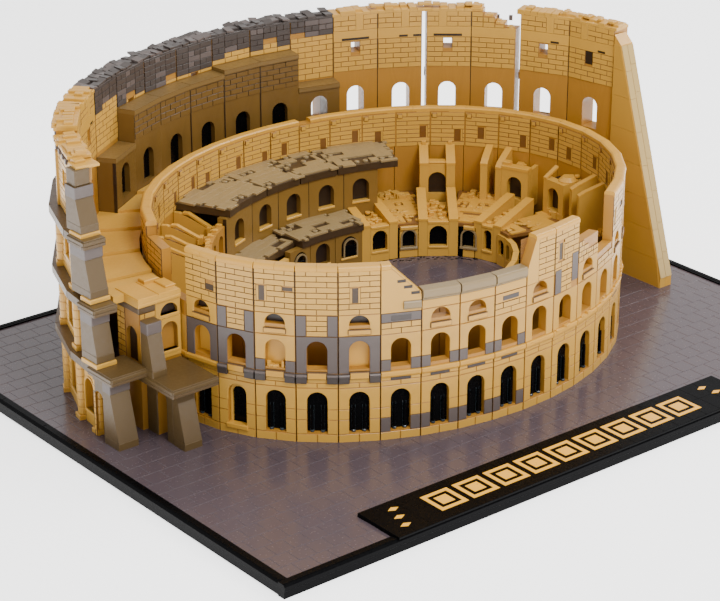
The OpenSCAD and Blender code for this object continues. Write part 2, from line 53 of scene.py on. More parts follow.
# ---- Measures in millimetres, as in the CAD model ----
MM = 0.001
STUD = 8.0
PLATE = 3.2
COURSE = 4.8
RELIEF = 0.7
JOINT = 0.15
BOWL_Y = 18.5
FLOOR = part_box("floor_tiles")[1].z / MM
RING_A, RING_B, RING_T = 218.4, 170.7, 8.0
RING_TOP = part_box("ring_rim")[1].z / MM
PANELS = 38
OUTER_A, OUTER_B, OUTER_T = 266.0, 212.0, 16.0
OUTER_LEFT = 4.0
OUTER_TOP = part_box("outer_wall_1")[1].z / MM
OUTER_SEAMS = [1.4, 13.4, 25.3, 35.5, 45.6, 55.8, 65.9, 76.1, 86.3, 96.4, 106.6, 116.7, 126.9,
               137.1, 147.2, 159.2, 171.1, 178]
LEVELS = (70.4, 121.6, 172.8)
GALLERY_D = 16.0
ARENA_Z, ARENA_D, ARCADE_D = 48.0, 84.0, 49.0
TERRACE_Z, LOWER_Z = 128.0, 86.4
FLUSH = (-0.1, RELIEF)
OPEN_JOINTS = (2, 4)
# Joints of the arcades, as angles
UPPER_JOINTS = (64.9, 76.3, 88.5, 100.2, 112, 128.2)
SIDE_JOINTS = (128.6, 137, 145.6, 154.6)
LOWER_JOINTS = (75.9, 87.3, 98.5, 109)
# Sloping piers: x, y of the front at the foot, width, depth, foot z, top z, lean of the front
PIERS = ((-293.5, -10, 18, 20, 9.6, 64, 10), (-294, 15.5, 16, 21, 74.8, 115.2, 5),
         (-292, 23, 16, 26.6, 126.4, 166.4, 6), (-291, 34, 16, 20, 176.4, 212.8, 6),
         (-254, -42.5, 16, 15, 9.6, 57.6, 8), (-263, -15, 13, 15, 64, 108.8, 6))
# Platforms between the storeys, and the blocks under the upper piers: x0, x1, y0, y1, top z
PLATFORMS = ((-296, -262, -7, 26, 70.4), (-296, -275, 13, 36, 121.6), (-294, -274.4, 26, 49, 172.8),
             (-264, -221, -43, 7, 64))
FOOT_BLOCKS = ((-295, -277, 14.2, 35.6, 74.8), (-293.2, -275.4, 21.8, 35.4, 126.4),
               (-292.2, -274.8, 32.8, 48.6, 176.4))


# ---- Curves of the plan ----
def ellipse(a, b, t):
    return Vector((a * math.cos(math.radians(t)), b * math.sin(math.radians(t))))


def outward(a, b, t):
    return Vector((math.cos(math.radians(t)) / a, math.sin(math.radians(t)) / b)).normalized()


def even(a, b, u):
    return u + 90 / math.pi * (a - b) / (a + b) * math.sin(math.radians(2 * u))


def ring_t(k):
    return even(RING_A, RING_B, 270 + k * 360 / PANELS)


def ring_point(k, d=0.0):
    return ellipse(RING_A, RING_B, ring_t(k)) - d * outward(RING_A, RING_B, ring_t(k))


def inset(t, d):
    a, b = RING_A - RING_T, RING_B - RING_T
    return ellipse(a, b, t) - d * outward(a, b, t)


def outer_point(i, d):
    t = even(OUTER_A, OUTER_B, OUTER_SEAMS[i])
    a = OUTER_A + (OUTER_LEFT if t > 90 else 0)
    return ellipse(a, OUTER_B, t) + d * outward(a, OUTER_B, t)


class Place:
    """A local frame: x along a wall, y out of it, z up. It turns millimetres into metres."""

    def __init__(self, origin, along, out=None, bowl=True):
        self.origin = Vector(origin) + Vector((0, BOWL_Y if bowl else 0))
        self.along = Vector(along).normalized()
        self.out = Vector(out) if out else Vector((self.along.y, -self.along.x))

    def plan(self, x, y):
        return self.origin + self.along * x + self.out * y

    def __call__(self, x, y, z):
        p = self.plan(x, y)
        return Vector((p.x * MM, p.y * MM, z * MM))

    def turned(self, x, y, degrees):
        """The frame with its origin moved to (x, y) and turned by an angle."""
        c, s = math.cos(math.radians(degrees)), math.sin(math.radians(degrees))
        along = self.along * c + self.out * s
        return Place(self.plan(x, y), along, self.out * c - self.along * s, bowl=False)


BASE = Place((0, 0), (1, 0), (0, 1), bowl=False)
BOWL = Place((0, 0), (1, 0), (0, 1))


def chord(p, q):
    """The frame of a wall panel from p to q, facing to the right of that line, and its length."""
    return Place(p, q - p), (q - p).length


def bowl_place(t, d):
    """The frame at distance d inside the ring wall, facing the middle of the arena."""
    n = outward(RING_A - RING_T, RING_B - RING_T, t)
    return Place(inset(t, d), (-n.y, n.x), (-n.x, -n.y))


# ---- Materials ----
def srgb(r, g, b):
    shares = (c / 255 for c in (r, g, b))
    return tuple(c / 12.92 if c <= 0.04045 else ((c + 0.055) / 1.055) ** 2.4 for c in shares) + (1.0,)


def plastic(name, color, vary=0.10, rough=0.36, edge_wear_and_highlight=1.25, grain=0.05, patch=60.0, specular=0.5):
    """Moulded plastic: own shade per brick, mottling, edges paled by wear and painted highlight, an uneven
    surface.
    """
    mat = bpy.data.materials.new(name)
    mat.use_nodes = True
    tree = mat.node_tree
    shader = tree.nodes["Principled BSDF"]
    shader.inputs["Specular IOR Level"].default_value = specular

    def node(kind, **sockets):
        made = tree.nodes.new(kind)
        for key, value in sockets.items():
            made.inputs[key.replace("_", " ")].default_value = value
        return made

    def mix(factor, a, b):
        made = tree.nodes.new("ShaderNodeMix")
        made.data_type = "RGBA"
        tree.links.new(factor, made.inputs["Factor"])
        for socket, value in ((made.inputs["A"], a), (made.inputs["B"], b)):
            socket = [s for s in made.inputs if s.name == socket.name and s.type == "RGBA"][0]
            if isinstance(value, tuple):
                socket.default_value = value
            else:
                tree.links.new(value, socket)
        return [s for s in made.outputs if s.type == "RGBA"][0]

    def remap(value, low, high, to_low, to_high):
        made = node("ShaderNodeMapRange", From_Min=low, From_Max=high, To_Min=to_low, To_Max=to_high)
        tree.links.new(value, made.inputs["Value"])
        return made.outputs["Result"]

    def noise(scale, detail):
        made = node("ShaderNodeTexNoise", Scale=scale, Detail=detail)
        tree.links.new(coords.outputs["Object"], made.inputs["Vector"])
        return made.outputs["Fac"]

    def scaled(factor):
        return tuple(min(1.0, c * factor) for c in color[:3]) + (1.0,)

    coords = tree.nodes.new("ShaderNodeTexCoord")
    geometry = tree.nodes.new("ShaderNodeNewGeometry")
    island = mix(geometry.outputs["Random Per Island"], scaled(1 - vary), scaled(1 + vary))
    mottled = mix(remap(noise(patch, 4.0), 0.42, 0.72, 0.0, 0.55), island, scaled(1 - 1.9 * vary))
    # Paler convex edges: partly wear, partly a painted highlight on the chamfers.
    edges = remap(geometry.outputs["Pointiness"], 0.51, 0.58, 0.0, 0.5)
    tree.links.new(mix(edges, mottled, scaled(edge_wear_and_highlight)), shader.inputs["Base Color"])
    uneven = remap(noise(patch * 7, 3.0), 0.3, 0.7, rough - 0.07, rough + 0.09)
    tree.links.new(uneven, shader.inputs["Roughness"])
    bump = node("ShaderNodeBump", Strength=grain, Distance=0.0004)
    tree.links.new(noise(1400.0, 2.0), bump.inputs["Height"])
    tree.links.new(bump.outputs["Normal"], shader.inputs["Normal"])
    return mat


TAN = plastic("tan_brick", srgb(186, 140, 54), vary=0.07)
LIGHT = plastic("light_tan_tile", srgb(188, 138, 48), vary=0.06)
MORTAR = plastic("joint_brown", srgb(80, 54, 22), vary=0.10, rough=0.55)
DEEP = plastic("deep_tan", srgb(158, 110, 38), vary=0.08)
DARK_TAN = plastic("dark_tan_brick", srgb(96, 70, 28), vary=0.08)
GREIGE = plastic("grey_beige_tile", srgb(80, 62, 34), vary=0.08)
GREY = plastic("blue_grey_stone", srgb(84, 74, 70), vary=0.08)
PALE_GREY = plastic("pale_grey_stone", srgb(126, 106, 72), vary=0.07)
SLATE = plastic("dark_slate", srgb(60, 52, 48), vary=0.16)
# Dark brown: the colour of joints, and painted shade at the backs of openings, lunettes, seams and slots.
SHADE_AND_JOINT_BROWN = plastic("painted_shade_and_joint_brown", srgb(34, 22, 12), vary=0.12)
BLACK = plastic("black_plastic", srgb(5, 5, 6), vary=0.10, rough=0.24, edge_wear_and_highlight=1.4, specular=0.08)
FRAME_BLACK = plastic("black_frame", srgb(4, 4, 5), vary=0.12, rough=0.30, edge_wear_and_highlight=1.4, specular=0.04)
FLOOR_TILE = plastic("purple_grey_floor", srgb(70, 60, 64), vary=0.035, rough=0.20, edge_wear_and_highlight=1.5, grain=0.02)
# Paler than the floor tiles: a painted highlight along the tile edges, seen in the gaps between them.
FLOOR_GAP_HIGHLIGHT = plastic("floor_gap_painted_highlight", srgb(86, 74, 78), vary=0.05, rough=0.35)
GOLD = plastic("gold_inlay", srgb(232, 168, 50), vary=0.03, rough=0.32)
GLINT = plastic("glass_glint", srgb(46, 54, 58), vary=0.2, rough=0.12)
# The brown plates under the terrace tiles; the dark brown also stands for the shade under the tiles' edge,
# and is painted shade at the backs of the ring's niches.
PLATE_AND_SHADE_BROWN = plastic("terrace_plate_and_painted_shade", srgb(58, 42, 24))
TERRACE = plastic("terrace_tile", srgb(132, 110, 72), vary=0.03, patch=90.0)
SOFT_JOINT = plastic("soft_joint_brown", srgb(112, 74, 28), vary=0.08, rough=0.5)
# Darker tan at the backs of the inner niches: painted shade in the shallow recesses.
NICHE_SHADE = plastic("niche_painted_shade_tan", srgb(104, 66, 22), vary=0.08)
ROOF = plastic("gallery_roof_tan", srgb(106, 82, 42), vary=0.06)
ARCADE = plastic("arcade_tan", srgb(116, 86, 34), vary=0.06)
CORNICE = plastic("cornice_brown", srgb(80, 62, 38), vary=0.08)
BUTTRESS_EDGE = plastic("buttress_edge_tan", srgb(166, 138, 82), vary=0.06)


# ---- Building pieces ----
class Piece:
    """One named piece: closed solids are gathered in it, then made into a mesh that rides on the model."""

    def __init__(self, name, slot, *materials):
        self.name, self.slot, self.materials = name, slot, materials
        self.points, self.faces, self.shades = [], [], []

    def face(self, indices, shade=0):
        self.faces.append(indices)
        self.shades.append(shade)

    def loft(self, loops, shades=None, caps=(0, 0)):
        """A closed solid through loops of points. shades are for its bands, caps for its two ends."""
        start, count = len(self.points), len(loops[0])
        for loop in loops:
            self.points += loop
        for band in range(len(loops) - 1):
            low, high = start + band * count, start + (band + 1) * count
            for i in range(count):
                j = (i + 1) % count
                self.face((low + i, low + j, high + j, high + i), shades[band] if shades else 0)
        self.face(tuple(range(start + count - 1, start - 1, -1)), caps[0])
        last = start + (len(loops) - 1) * count
        self.face(tuple(range(last, last + count)), caps[1])

    def make(self, *replaced):
        mesh = bpy.data.meshes.new(self.name)
        mesh.from_pydata([tuple(p) for p in self.points], [], self.faces)
        for material in self.materials:
            mesh.materials.append(material)
        mesh.polygons.foreach_set("material_index", self.shades)
        work = bmesh.new()
        work.from_mesh(mesh)
        bmesh.ops.recalc_face_normals(work, faces=work.faces)
        work.to_mesh(mesh)
        work.free()
        made = bpy.data.objects.new(self.name, mesh)
        bpy.context.scene.collection.objects.link(made)
        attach(made, "root")
        if replaced:
            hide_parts(*replaced)
        return made


def about(middle, reach):
    """The span from reach below the middle to reach above it."""
    return (middle - reach, middle + reach)


def make_all(*pieces):
    for piece in pieces:
        piece.make()


def block(piece, at, x, y, z, chamfer=0.3, face=0, sides=1):
    """A brick standing out of a wall. x, y and z are (low, high). Its edges at high y are chamfered."""
    def loop(dy, inward):
        return [at(x[0] + inward, dy, z[0] + inward), at(x[1] - inward, dy, z[0] + inward),
                at(x[1] - inward, dy, z[1] - inward), at(x[0] + inward, dy, z[1] - inward)]
    piece.loft([loop(y[0], 0), loop(y[1] - chamfer, 0), loop(y[1], chamfer)], [sides, sides], (sides, face))


def tile(piece, at, x, y, z, chamfer=0.4, face=0, sides=0):
    """A tile lying flat. The top edges are chamfered."""
    def loop(height, inward):
        return [at(x[0] + inward, y[0] + inward, height), at(x[1] - inward, y[0] + inward, height),
                at(x[1] - inward, y[1] - inward, height), at(x[0] + inward, y[1] - inward, height)]
    piece.loft([loop(z[0], 0), loop(z[1] - chamfer, 0), loop(z[1], chamfer)], [sides, sides], (sides, face))


def extruded(piece, at, x, outline):
    """An outline of (y, z) points drawn along x from low to high."""
    piece.loft([[at(end, y, z) for y, z in outline] for end in x])


def drum(piece, at, x, y, radius, z, chamfer=0.4, sides=14, shade=0):
    """A round drum with chamfered ends."""
    turns = [2 * math.pi * i / sides for i in range(sides)]

    def loop(r, height):
        return [at(x + r * math.cos(a), y + r * math.sin(a), height) for a in turns]

    piece.loft([loop(radius - chamfer, z[0]), loop(radius, z[0] + chamfer), loop(radius, z[1] - chamfer),
                loop(radius - chamfer, z[1])], [shade] * 3, (shade, shade))


def stud(piece, at, x, y, z):
    drum(piece, at, x, y, 2.4, (z - 0.4, z + 1.7), 0.3, 12)


def arch_panel(piece, at, x, z, centre, width, sill, crown, y=FLUSH, chamfer=0.35, sides=0):
    """A flat panel with a round-headed opening, which runs out below if its sill is the panel's foot."""
    radius = width / 2
    spring = crown - radius
    corners = [math.atan2(z[1] - spring, side - centre) for side in x]
    angles = sorted({math.pi * i / 16 for i in range(17)} | set(corners), reverse=True)
    closed = sill > z[0] + 0.01

    def outline(grow, shrink):
        inner = [(centre - radius - grow, sill - (grow if closed else 0))]
        outer = [(x[0] + shrink, z[0] + shrink)]
        for angle in angles:
            c, s = math.cos(angle), math.sin(angle)
            inner.append((centre + (radius + grow) * c, spring + (radius + grow) * s))
            reach = min([((x[1] if c > 0 else x[0]) - centre) / c if abs(c) > 1e-6 else 1e9,
                         (z[1] - spring) / s if s > 1e-6 else 1e9])
            px, pz = centre + reach * c, spring + reach * s
            outer.append((min(max(px, x[0] + shrink), x[1] - shrink), min(pz, z[1] - shrink)))
        inner.append((centre + radius + grow, sill - (grow if closed else 0)))
        outer.append((x[1] - shrink, z[0] + shrink))
        return inner, outer

    inner, outer = outline(0, 0)
    inner_front, outer_front = outline(chamfer, chamfer)
    loops = [[at(px, y[0], pz) for px, pz in inner], [at(px, y[0], pz) for px, pz in outer],
             [at(px, y[1] - chamfer, pz) for px, pz in outer], [at(px, y[1], pz) for px, pz in outer_front],
             [at(px, y[1], pz) for px, pz in inner_front], [at(px, y[1] - chamfer, pz) for px, pz in inner]]
    shades = [sides, sides, sides, 0, 0, 0]
    start, count = len(piece.points), len(inner)
    for loop in loops:
        piece.points += loop
    for ring in range(6):
        a, b = start + ring * count, start + (ring + 1) % 6 * count
        for i in range(count - 1 + closed):
            j = (i + 1) % count
            piece.face((a + i, a + j, b + j, b + i), shades[ring])
    if not closed:
        for end in (0, count - 1):
            piece.face(tuple(start + ring * count + end for ring in range(6)), sides)


def courses(piece, at, x, z, holes=(), length=16.0, y=FLUSH, height=COURSE, face=0, gaps=0.0):
    """Bricks in running bond round holes of (low x, high x, low z, high z). gaps is the share left out."""
    rows = max(1, round((z[1] - z[0]) / height))
    tall = (z[1] - z[0]) / rows
    for row in range(rows):
        low, high = z[0] + row * tall, z[0] + (row + 1) * tall
        spans = [x]
        for hx0, hx1, hz0, hz1 in holes:
            if hz0 < high - 0.6 and hz1 > low + 0.6:
                parts = [part for a, b in spans for part in ((a, min(b, hx0)), (max(a, hx1), b))]
                spans = [(a, b) for a, b in parts if b - a > 1.2]
        for a, b in spans:
            edge = x[0] + (length / 2 if row % 2 else 0)
            cuts = [a]
            while edge < b - 2.5:
                if edge > a + 2.5:
                    cuts.append(edge)
                edge += length
            cuts.append(b)
            for c, d in zip(cuts, cuts[1:]):
                if random.random() >= gaps:
                    proud = y[1] + random.uniform(-0.12, 0.12)
                    shade = random.choice(face) if isinstance(face, tuple) else face
                    brick = ((c + JOINT, d - JOINT), (y[0], proud), (low + JOINT, high - JOINT))
                    block(piece, at, *brick, 0.18, shade)


def leaning(piece, at, x, y, z, rise_x, rise_y, thick, shade=0):
    """A thin slab whose top leans: rise_x and rise_y are how far it climbs across x and across y."""
    corners = ((x[0], y[0], 0), (x[1], y[0], rise_x), (x[1], y[1], rise_x + rise_y), (x[0], y[1], rise_y))
    loops = [[at(px, py, z + up + lift) for px, py, up in corners] for lift in (0, thick)]
    piece.loft(loops, [shade], (shade, shade))


def within(outline, p):
    """Whether a point of the plan lies inside a closed outline."""
    hit = False
    for a, b in zip(outline, outline[1:] + outline[:1]):
        if (a.y > p.y) != (b.y > p.y) and p.x < a.x + (b.x - a.x) * (p.y - a.y) / (b.y - a.y):
            hit = not hit
    return hit


def tiled(piece, studs, at, outline, x, y, z, gaps, thick=1.6, cell=STUD, runs=(1, 2, 2, 3, 4)):
    """Tiles on a square grid inside an outline. Gaps leave the plate below open, some with a stud on it."""
    columns, rows = int((x[1] - x[0]) / cell), int((y[1] - y[0]) / cell)

    def free(i, j, size=cell, slack=0.1):
        ends = (slack, 1 - slack)
        corners = [(x[0] + size * (i + u), y[0] + size * (j + v)) for u in ends for v in ends]
        return all(within(outline, at.plan(*corner)) for corner in corners)

    def lay(i, j, run=1, size=cell):
        low, side = x[0] + size * i, y[0] + size * j
        tile(piece, at, (low, low + size * run), (side, side + size), (z - 0.1, z + thick), 0.1)

    for j in range(rows):
        i = 0
        while i < columns:
            if not free(i, j):
                for m, n in ((2 * i, 2 * j), (2 * i, 2 * j + 1), (2 * i + 1, 2 * j), (2 * i + 1, 2 * j + 1)):
                    if free(m, n, cell / 2, 0.3) and random.random() > gaps * 0.7:
                        lay(m, n, 1, cell / 2)
                i += 1
                continue
            run = 1
            want = random.choice(runs)
            while run < want and i + run < columns and free(i + run, j):
                run += 1
            if run <= 2 and random.random() < gaps:
                for n in range(run):
                    if random.random() < 0.6:
                        stud(studs, at, x[0] + cell * (i + n + 0.5), y[0] + cell * (j + 0.5), z)
            else:
                lay(i, j, run)
            i += run


def rubble(piece, at, x, y, z, count, size=(2.5, 7.0), tall=(0.8, 3.0), turn=25, shade=0):
    """Small loose bricks lying about at slight angles."""
    for _ in range(count):
        a, b = random.uniform(*size) / 2, random.uniform(*size) / 2
        spot = at.turned(random.uniform(x[0] + a, max(x[0] + a, x[1] - a)),
                         random.uniform(y[0] + b, max(y[0] + b, y[1] - b)), random.uniform(-turn, turn))
        tile(piece, spot, (-a, a), (-b, b), (z - 0.2, z + random.uniform(*tall)), 0.3, shade, shade)


# ---- Ring wall, outer face ----
masonry = Piece("ring_masonry", "tan_brick", TAN, MORTAR)
smooth = Piece("ring_smooth_panels", "tan_brick", TAN, DEEP)
stone = Piece("ring_grey_stones", "slate", GREY, MORTAR)
sills = Piece("ring_sills", "light_tile", LIGHT, MORTAR)
slates = Piece("ring_dark_insets", "slate", SLATE, SHADE_AND_JOINT_BROWN)
brackets = Piece("ring_bracket_blocks", "slate", SLATE, GREY)
coping = Piece("ring_low_coping", "light_tile", PALE_GREY)
# Black insets behind the arches, plus painted light: dark seam strips, glass glints, and painted shade
# behind lunettes and niches.
dark = Piece("ring_black_insets_painted_shade_and_glints", "inner_black", BLACK, GLINT, SHADE_AND_JOINT_BROWN, PLATE_AND_SHADE_BROWN)

GROUND_SILL, GROUND_TOP = 17.6, 52.8
LOGGIA_TOP = 96.0
LUNETTE_SILL, LUNETTE_TOP = 106.0, 117.5
EDGE = 0.35
BRACKET_OUTLINE = [(-0.1, 60.8), (2.4, 60.8), (3.0, 61.4), (3.0, 66.0), (2.0, 68.0), (-0.1, 68.0)]
LEDGE_OUTLINE = [(-0.1, 63.8), (1.4, 63.8), (2.2, 65.4), (2.2, 68.0), (1.8, 68.8), (-0.1, 68.8)]
PANEL_TOPS = {2: 134.0, 3: 113.0, 27: 143.0, 28: 110.0, 34: 131.0, 35: 131.0, 36: 131.0, 37: 131.0}


def ground_storey(at, w, grey_foot=False, blind=False):
    c = w / 2
    ends = ((EDGE, c - 8), (c + 8, w - EDGE))
    block(smooth, at, (EDGE, c - JOINT), FLUSH, (FLOOR, 16.4))
    block(smooth, at, (c + JOINT, w - EDGE), FLUSH, (FLOOR, 16.4))
    foot = stone if grey_foot else smooth
    for end in ends:
        block(foot, at, end, FLUSH, (16.8, 29.0))
        block(smooth, at, end, FLUSH, (29.3, 38.0))
    arch_panel(smooth, at, (EDGE, w - EDGE), (38.3, 56.2), c, 16, 38.3, GROUND_TOP, sides=1)
    block(smooth, at, (EDGE, c - JOINT), FLUSH, (56.6, 60.6))
    block(smooth, at, (c + JOINT, w - EDGE), FLUSH, (56.6, 60.6))
    back = 5.4 if blind else 3.7
    block(dark, at, about(c, 8.2), (-back - 1.4, -back), (GROUND_SILL, GROUND_TOP + 0.3), 0.2, 0, 0)
    if blind:
        block(sills, at, about(c, 9.5), (-4, 2.0), (14.4, 18.4), 0.5, 0, 0)
        arch_panel(smooth, at, about(c, 8), (18.4, GROUND_TOP), c, 12, 18.4, 49.5, (-5.2, -3), sides=0)
    else:
        # Thin glass-glint strips beside each clear post, and glinting post feet: painted highlights.
        for post in about(c, 4.2):
            for x in about(post, 1.3):
                block(dark, at, about(x, 0.16), (-3.8, -3.5), (19, 40), 0.05, 1, 1)
            drum(dark, at, post, -2.2, 1.7, (17.7, 19.6), 0.3, 10, 1)


def bracket_band(at, w):
    for x in ((0.4, 8.4), (w - 8.4, w - 0.4)):
        extruded(brackets, at, x, BRACKET_OUTLINE)
        block(brackets, at, (x[0] - 0.3, x[1] + 0.3), (-0.1, 3.5), (66.2, 68.4), 0.7, 1, 1)
    block(sills, at, (8.7, w - 8.7), (-6, 2.6), (64.4, 70.4), 0.6, 0, 1)
    courses(smooth, at, (8.7, w - 8.7), (60.8, 64.2), length=16)


def ledge_band(at, w, inset_strip=True):
    c = w / 2
    extruded(sills, at, (0.3, w - 0.3), LEDGE_OUTLINE)
    if inset_strip:
        block(slates, at, about(c, 8), (-0.1, 0.9), (60.9, 63.6), 0.2, 0, 0)
        courses(smooth, at, (EDGE, w - EDGE), (60.8, 63.8), ((c - 8, c + 8, 60, 64),))
    else:
        courses(smooth, at, (EDGE, w - EDGE), (60.8, 63.8), length=16)


def loggia(at, w, piece, low_piece=None):
    c = w / 2
    foot = 79.0 if low_piece else 69.0
    if low_piece:
        for end in ((EDGE, c - 8), (c + 8, w - EDGE)):
            block(low_piece, at, end, FLUSH, (69.0, foot - 0.3))
    arch_panel(piece, at, (EDGE, w - EDGE), (foot, 100.0), c, 16, foot, LOGGIA_TOP, sides=1)


def lunette(at, w, shadow=False):
    c = w / 2
    sill = LUNETTE_SILL
    arch_panel(smooth, at, (EDGE, w - EDGE), (100.4, 118.0), c, 16, sill, LUNETTE_TOP, sides=1)
    block(sills, at, about(c, 9), (-5, 1.9), (sill - 4.4, sill), 0.5, 0, 1)
    if shadow:
        block(dark, at, about(c, 8.2), (-6.5, -5.4), (sill, LUNETTE_TOP + 0.3), 0.1, 2, 2)
        leaning(sills, at, (c - 6, c + 5), (-4.6, -2.2), sill + 0.4, random.uniform(-3, 4), 0, 2.2)
        block(sills, at, about(c, 8.2), (-7.4, -6.4), (69, 97.4), 0.1, 0, 0)


def pilasters(at, w):
    for x in ((EDGE, 8.2), (w - 8.2, w - EDGE)):
        block(stone, at, x, (-0.1, RELIEF + 0.3), (100.4, 117.6))
    courses(masonry, at, (8.4, w - 8.4), (100.4, 117.6))


def upper_masonry(at, w, niches=()):
    """The masonry below the rim. niches are (middle x, low z, high z); tall ones have a frame."""
    holes = [(x - 4, x + 4, z0, z1) for x, z0, z1 in niches]
    courses(masonry, at, (EDGE, w - EDGE), (118.2, 155.0), holes)
    for x, z0, z1 in niches:
        # The dark brown niche back is painted shade in the recess.
        block(dark, at, about(x, 4), (-0.1, 0.15), (z0, z1), 0.05, 3, 3)
        if z1 - z0 > 8:
            block(smooth, at, (x + 2.4, x + 4), FLUSH, (z0, z1), 0.2, 0, 0)
            block(smooth, at, (x - 4, x - 2.4), FLUSH, (z0, z1), 0.2, 0, 0)


def two_storeys(at, w):
    ground_storey(at, w)
    ledge_band(at, w, False)
    loggia(at, w, smooth)


def panel_a(at, w, blind=False):
    ground_storey(at, w, blind=blind)
    bracket_band(at, w)
    loggia(at, w, stone)
    pilasters(at, w)
    upper_masonry(at, w)


def panel_b(at, w, bracket=True, left=True):
    ground_storey(at, w)
    if bracket:
        bracket_band(at, w)
    else:
        ledge_band(at, w)
    loggia(at, w, smooth, stone if bracket else None)
    if bracket:
        rubble(sills, at, about(w / 2, 7.4), (-5, -0.4), 70.2, 8, (1.6, 4.8), (1.5, 7.5), 25)
    lunette(at, w, bracket)
    x_win, x_slot = (6.0, w - 6.0) if left else (w - 8.0, 8.0)
    upper_masonry(at, w, niches=((x_win, 127.8, 140.2), (x_slot, 137.2, 140.2)))


def panel_d(at, w):
    ground_storey(at, w)
    bracket_band(at, w)
    loggia(at, w, stone)
    lunette(at, w, True)
    upper_masonry(at, w, niches=((w * 0.4, 127.8, 140.2),))


def panel_z(at, w):
    ground_storey(at, w)
    ledge_band(at, w, False)
    loggia(at, w, stone)
    lunette(at, w, True)
    upper_masonry(at, w, niches=((w - 7, 128.0, 133.0),))


def panel_low(at, w, window_at_top=True):
    ground_storey(at, w, True)
    ledge_band(at, w)
    loggia(at, w, smooth, stone)
    if window_at_top:
        lunette(at, w)
        block(smooth, at, (EDGE, w - EDGE), FLUSH, (118.3, 125.6))
    else:
        courses(masonry, at, (EDGE, w - EDGE), (100.2, 109.8))
        dark_strip(at, w)


def dark_strip(at, w):
    block(sills, at, (EDGE, w - EDGE), FLUSH, (110.0, 118.0))
    block(slates, at, about(w / 2, 8), (0.2, 1.0), (111.4, 115.2), 0.2, 0, 0)
    block(smooth, at, (EDGE, w - EDGE), FLUSH, (118.3, 125.6))


def panel_e(at, w):
    ground_storey(at, w, True)
    ledge_band(at, w)
    loggia(at, w, smooth, stone)
    courses(masonry, at, (EDGE, w - EDGE), (100.2, 109.8))
    block(stone, at, (EDGE, w - EDGE), FLUSH, (110.0, 117.6))
    block(slates, at, about(w / 2, 8), (0.2, 1.0), (111.2, 115.8), 0.2, 0, 0)
    slope = [(EDGE, 118.0), (EDGE, 154.6), (w * 0.25, 154.6), (w - EDGE, 131.4), (w - EDGE, 118.0)]
    smooth.loft([[at(x, y, z) for x, z in slope] for y in FLUSH], [1], (1, 0))
    leaning(smooth, at, (w * 0.26, w - 0.6), (-RING_T + 0.3, 0.4), 154.9, -23.2, 0, 1.6)
    for x, z in ((w * 0.50, 143.6), (w * 0.66, 138.4), (w * 0.84, 133.0)):
        block(slates, at, about(x, 3.4), (0.2, RELIEF + 0.15), about(z, 1.2), 0.1, 1, 1)
        leaning(slates, at, about(x, 2.6), (-RING_T + 1.5, -2.2), z + 4.6, -3.6, 0, 0.5, 1)
    rounded_cap(coping, at, (w * 0.55, w - 0.5), 127.0, 120.4, -0.5, 2.4)
    block(smooth, at, (1, 7), (-7, -1), (155.2, 158.0), 0.8, 0, 0)


def panel_i(at, w):
    two_storeys(at, w)
    lunette(at, w)
    upper_masonry(at, w)


def panel_slanted(at, w):
    two_storeys(at, w)
    lunette(at, w)
    edge = w * 0.3
    slab = [(EDGE, 118.2), (EDGE, 131.4), (edge, 154.6), (edge + 3.4, 154.6), (edge + 3.4, 118.2)]
    smooth.loft([[at(x, y, z) for x, z in slab] for y in (-0.1, RELIEF + 0.2)], [1], (1, 0))
    courses(masonry, at, (edge + 3.7, w - EDGE), (118.2, 155.0))


def panel_j(at, w):
    two_storeys(at, w)
    courses(masonry, at, (EDGE, w - EDGE), (100.4, 118.0), ((1, 9, 100, 118), (w - 9, w - 1, 104, 118)))
    block(stone, at, (1, 9), (-0.1, RELIEF + 0.3), (100.4, 121))
    block(stone, at, (w - 9, w - 1), (-0.1, RELIEF + 0.3), (106, 130))
    upper_masonry(at, w, niches=((8, 129.0, 143.0),))


def panel_broken(at, w, steps):
    two_storeys(at, w)
    if steps[0] > 120:
        lunette(at, w)
    else:
        courses(masonry, at, (EDGE, w - EDGE), (100.4, 110))
    n = len(steps)
    for i, top in enumerate(steps):
        x = (EDGE + (w - 2 * EDGE) * i / n, EDGE + (w - 2 * EDGE) * (i + 1) / n)
        if top > 120:
            courses(masonry, at, x, (118.2, top), length=9)


def panel_end(at, w):
    two_storeys(at, w)
    lunette(at, w)
    courses(masonry, at, (EDGE, w - EDGE), (118.2, 145.4))


def ring_panels():
    plan = {27: (panel_end,), 28: (two_storeys,), 29: (panel_z,), 30: (panel_a, True), 31: (panel_b,),
            32: (panel_a,), 33: (panel_d,), 34: (panel_e,), 35: (panel_low,), 36: (panel_low,),
            37: (panel_low, False), 0: (panel_slanted,), 1: (panel_j,),
            2: (panel_broken, (136, 131, 126, 126)), 3: (panel_broken, (115, 112))}
    rest = ((panel_b, False), (panel_i,), (panel_b, False, False), (panel_z,))
    for k in range(PANELS):
        at, w = chord(ring_point(k), ring_point(k + 1))
        top = min(PANEL_TOPS.get(k, 153.8), PANEL_TOPS.get((k - 1) % PANELS, 153.8))
        # A dark strip in the seam between two panels: painted shade in the gap.
        block(dark, at, (-0.31, 0.31), (-4, 0.12), (FLOOR, top), 0.05, 0, 0)
        if 0 < k < 6:
            rubble(sills, at, (1, w - 1), (-2, 2.2), 68.6, 5, (2.5, 5.0), (0.8, 2.4), 8)
        build, *details = plan.get(k, rest[k % 4])
        build(at, w, *details)


def rounded_cap(piece, at, x, top, low, back, front):
    """A cap tile with a rounded outer edge, along the top of a wall."""
    outline = [(back, low), (front - 0.4, low), (front, low + 0.6)]
    outline += [(front - 2.4 + 2.4 * math.cos(a), top - 2.4 + 2.4 * math.sin(a))
                for a in (math.radians(d) for d in (0, 22, 45, 67, 90))]
    outline += [(back + 1.2, top), (back, top - 1.0)]
    extruded(piece, at, x, outline)


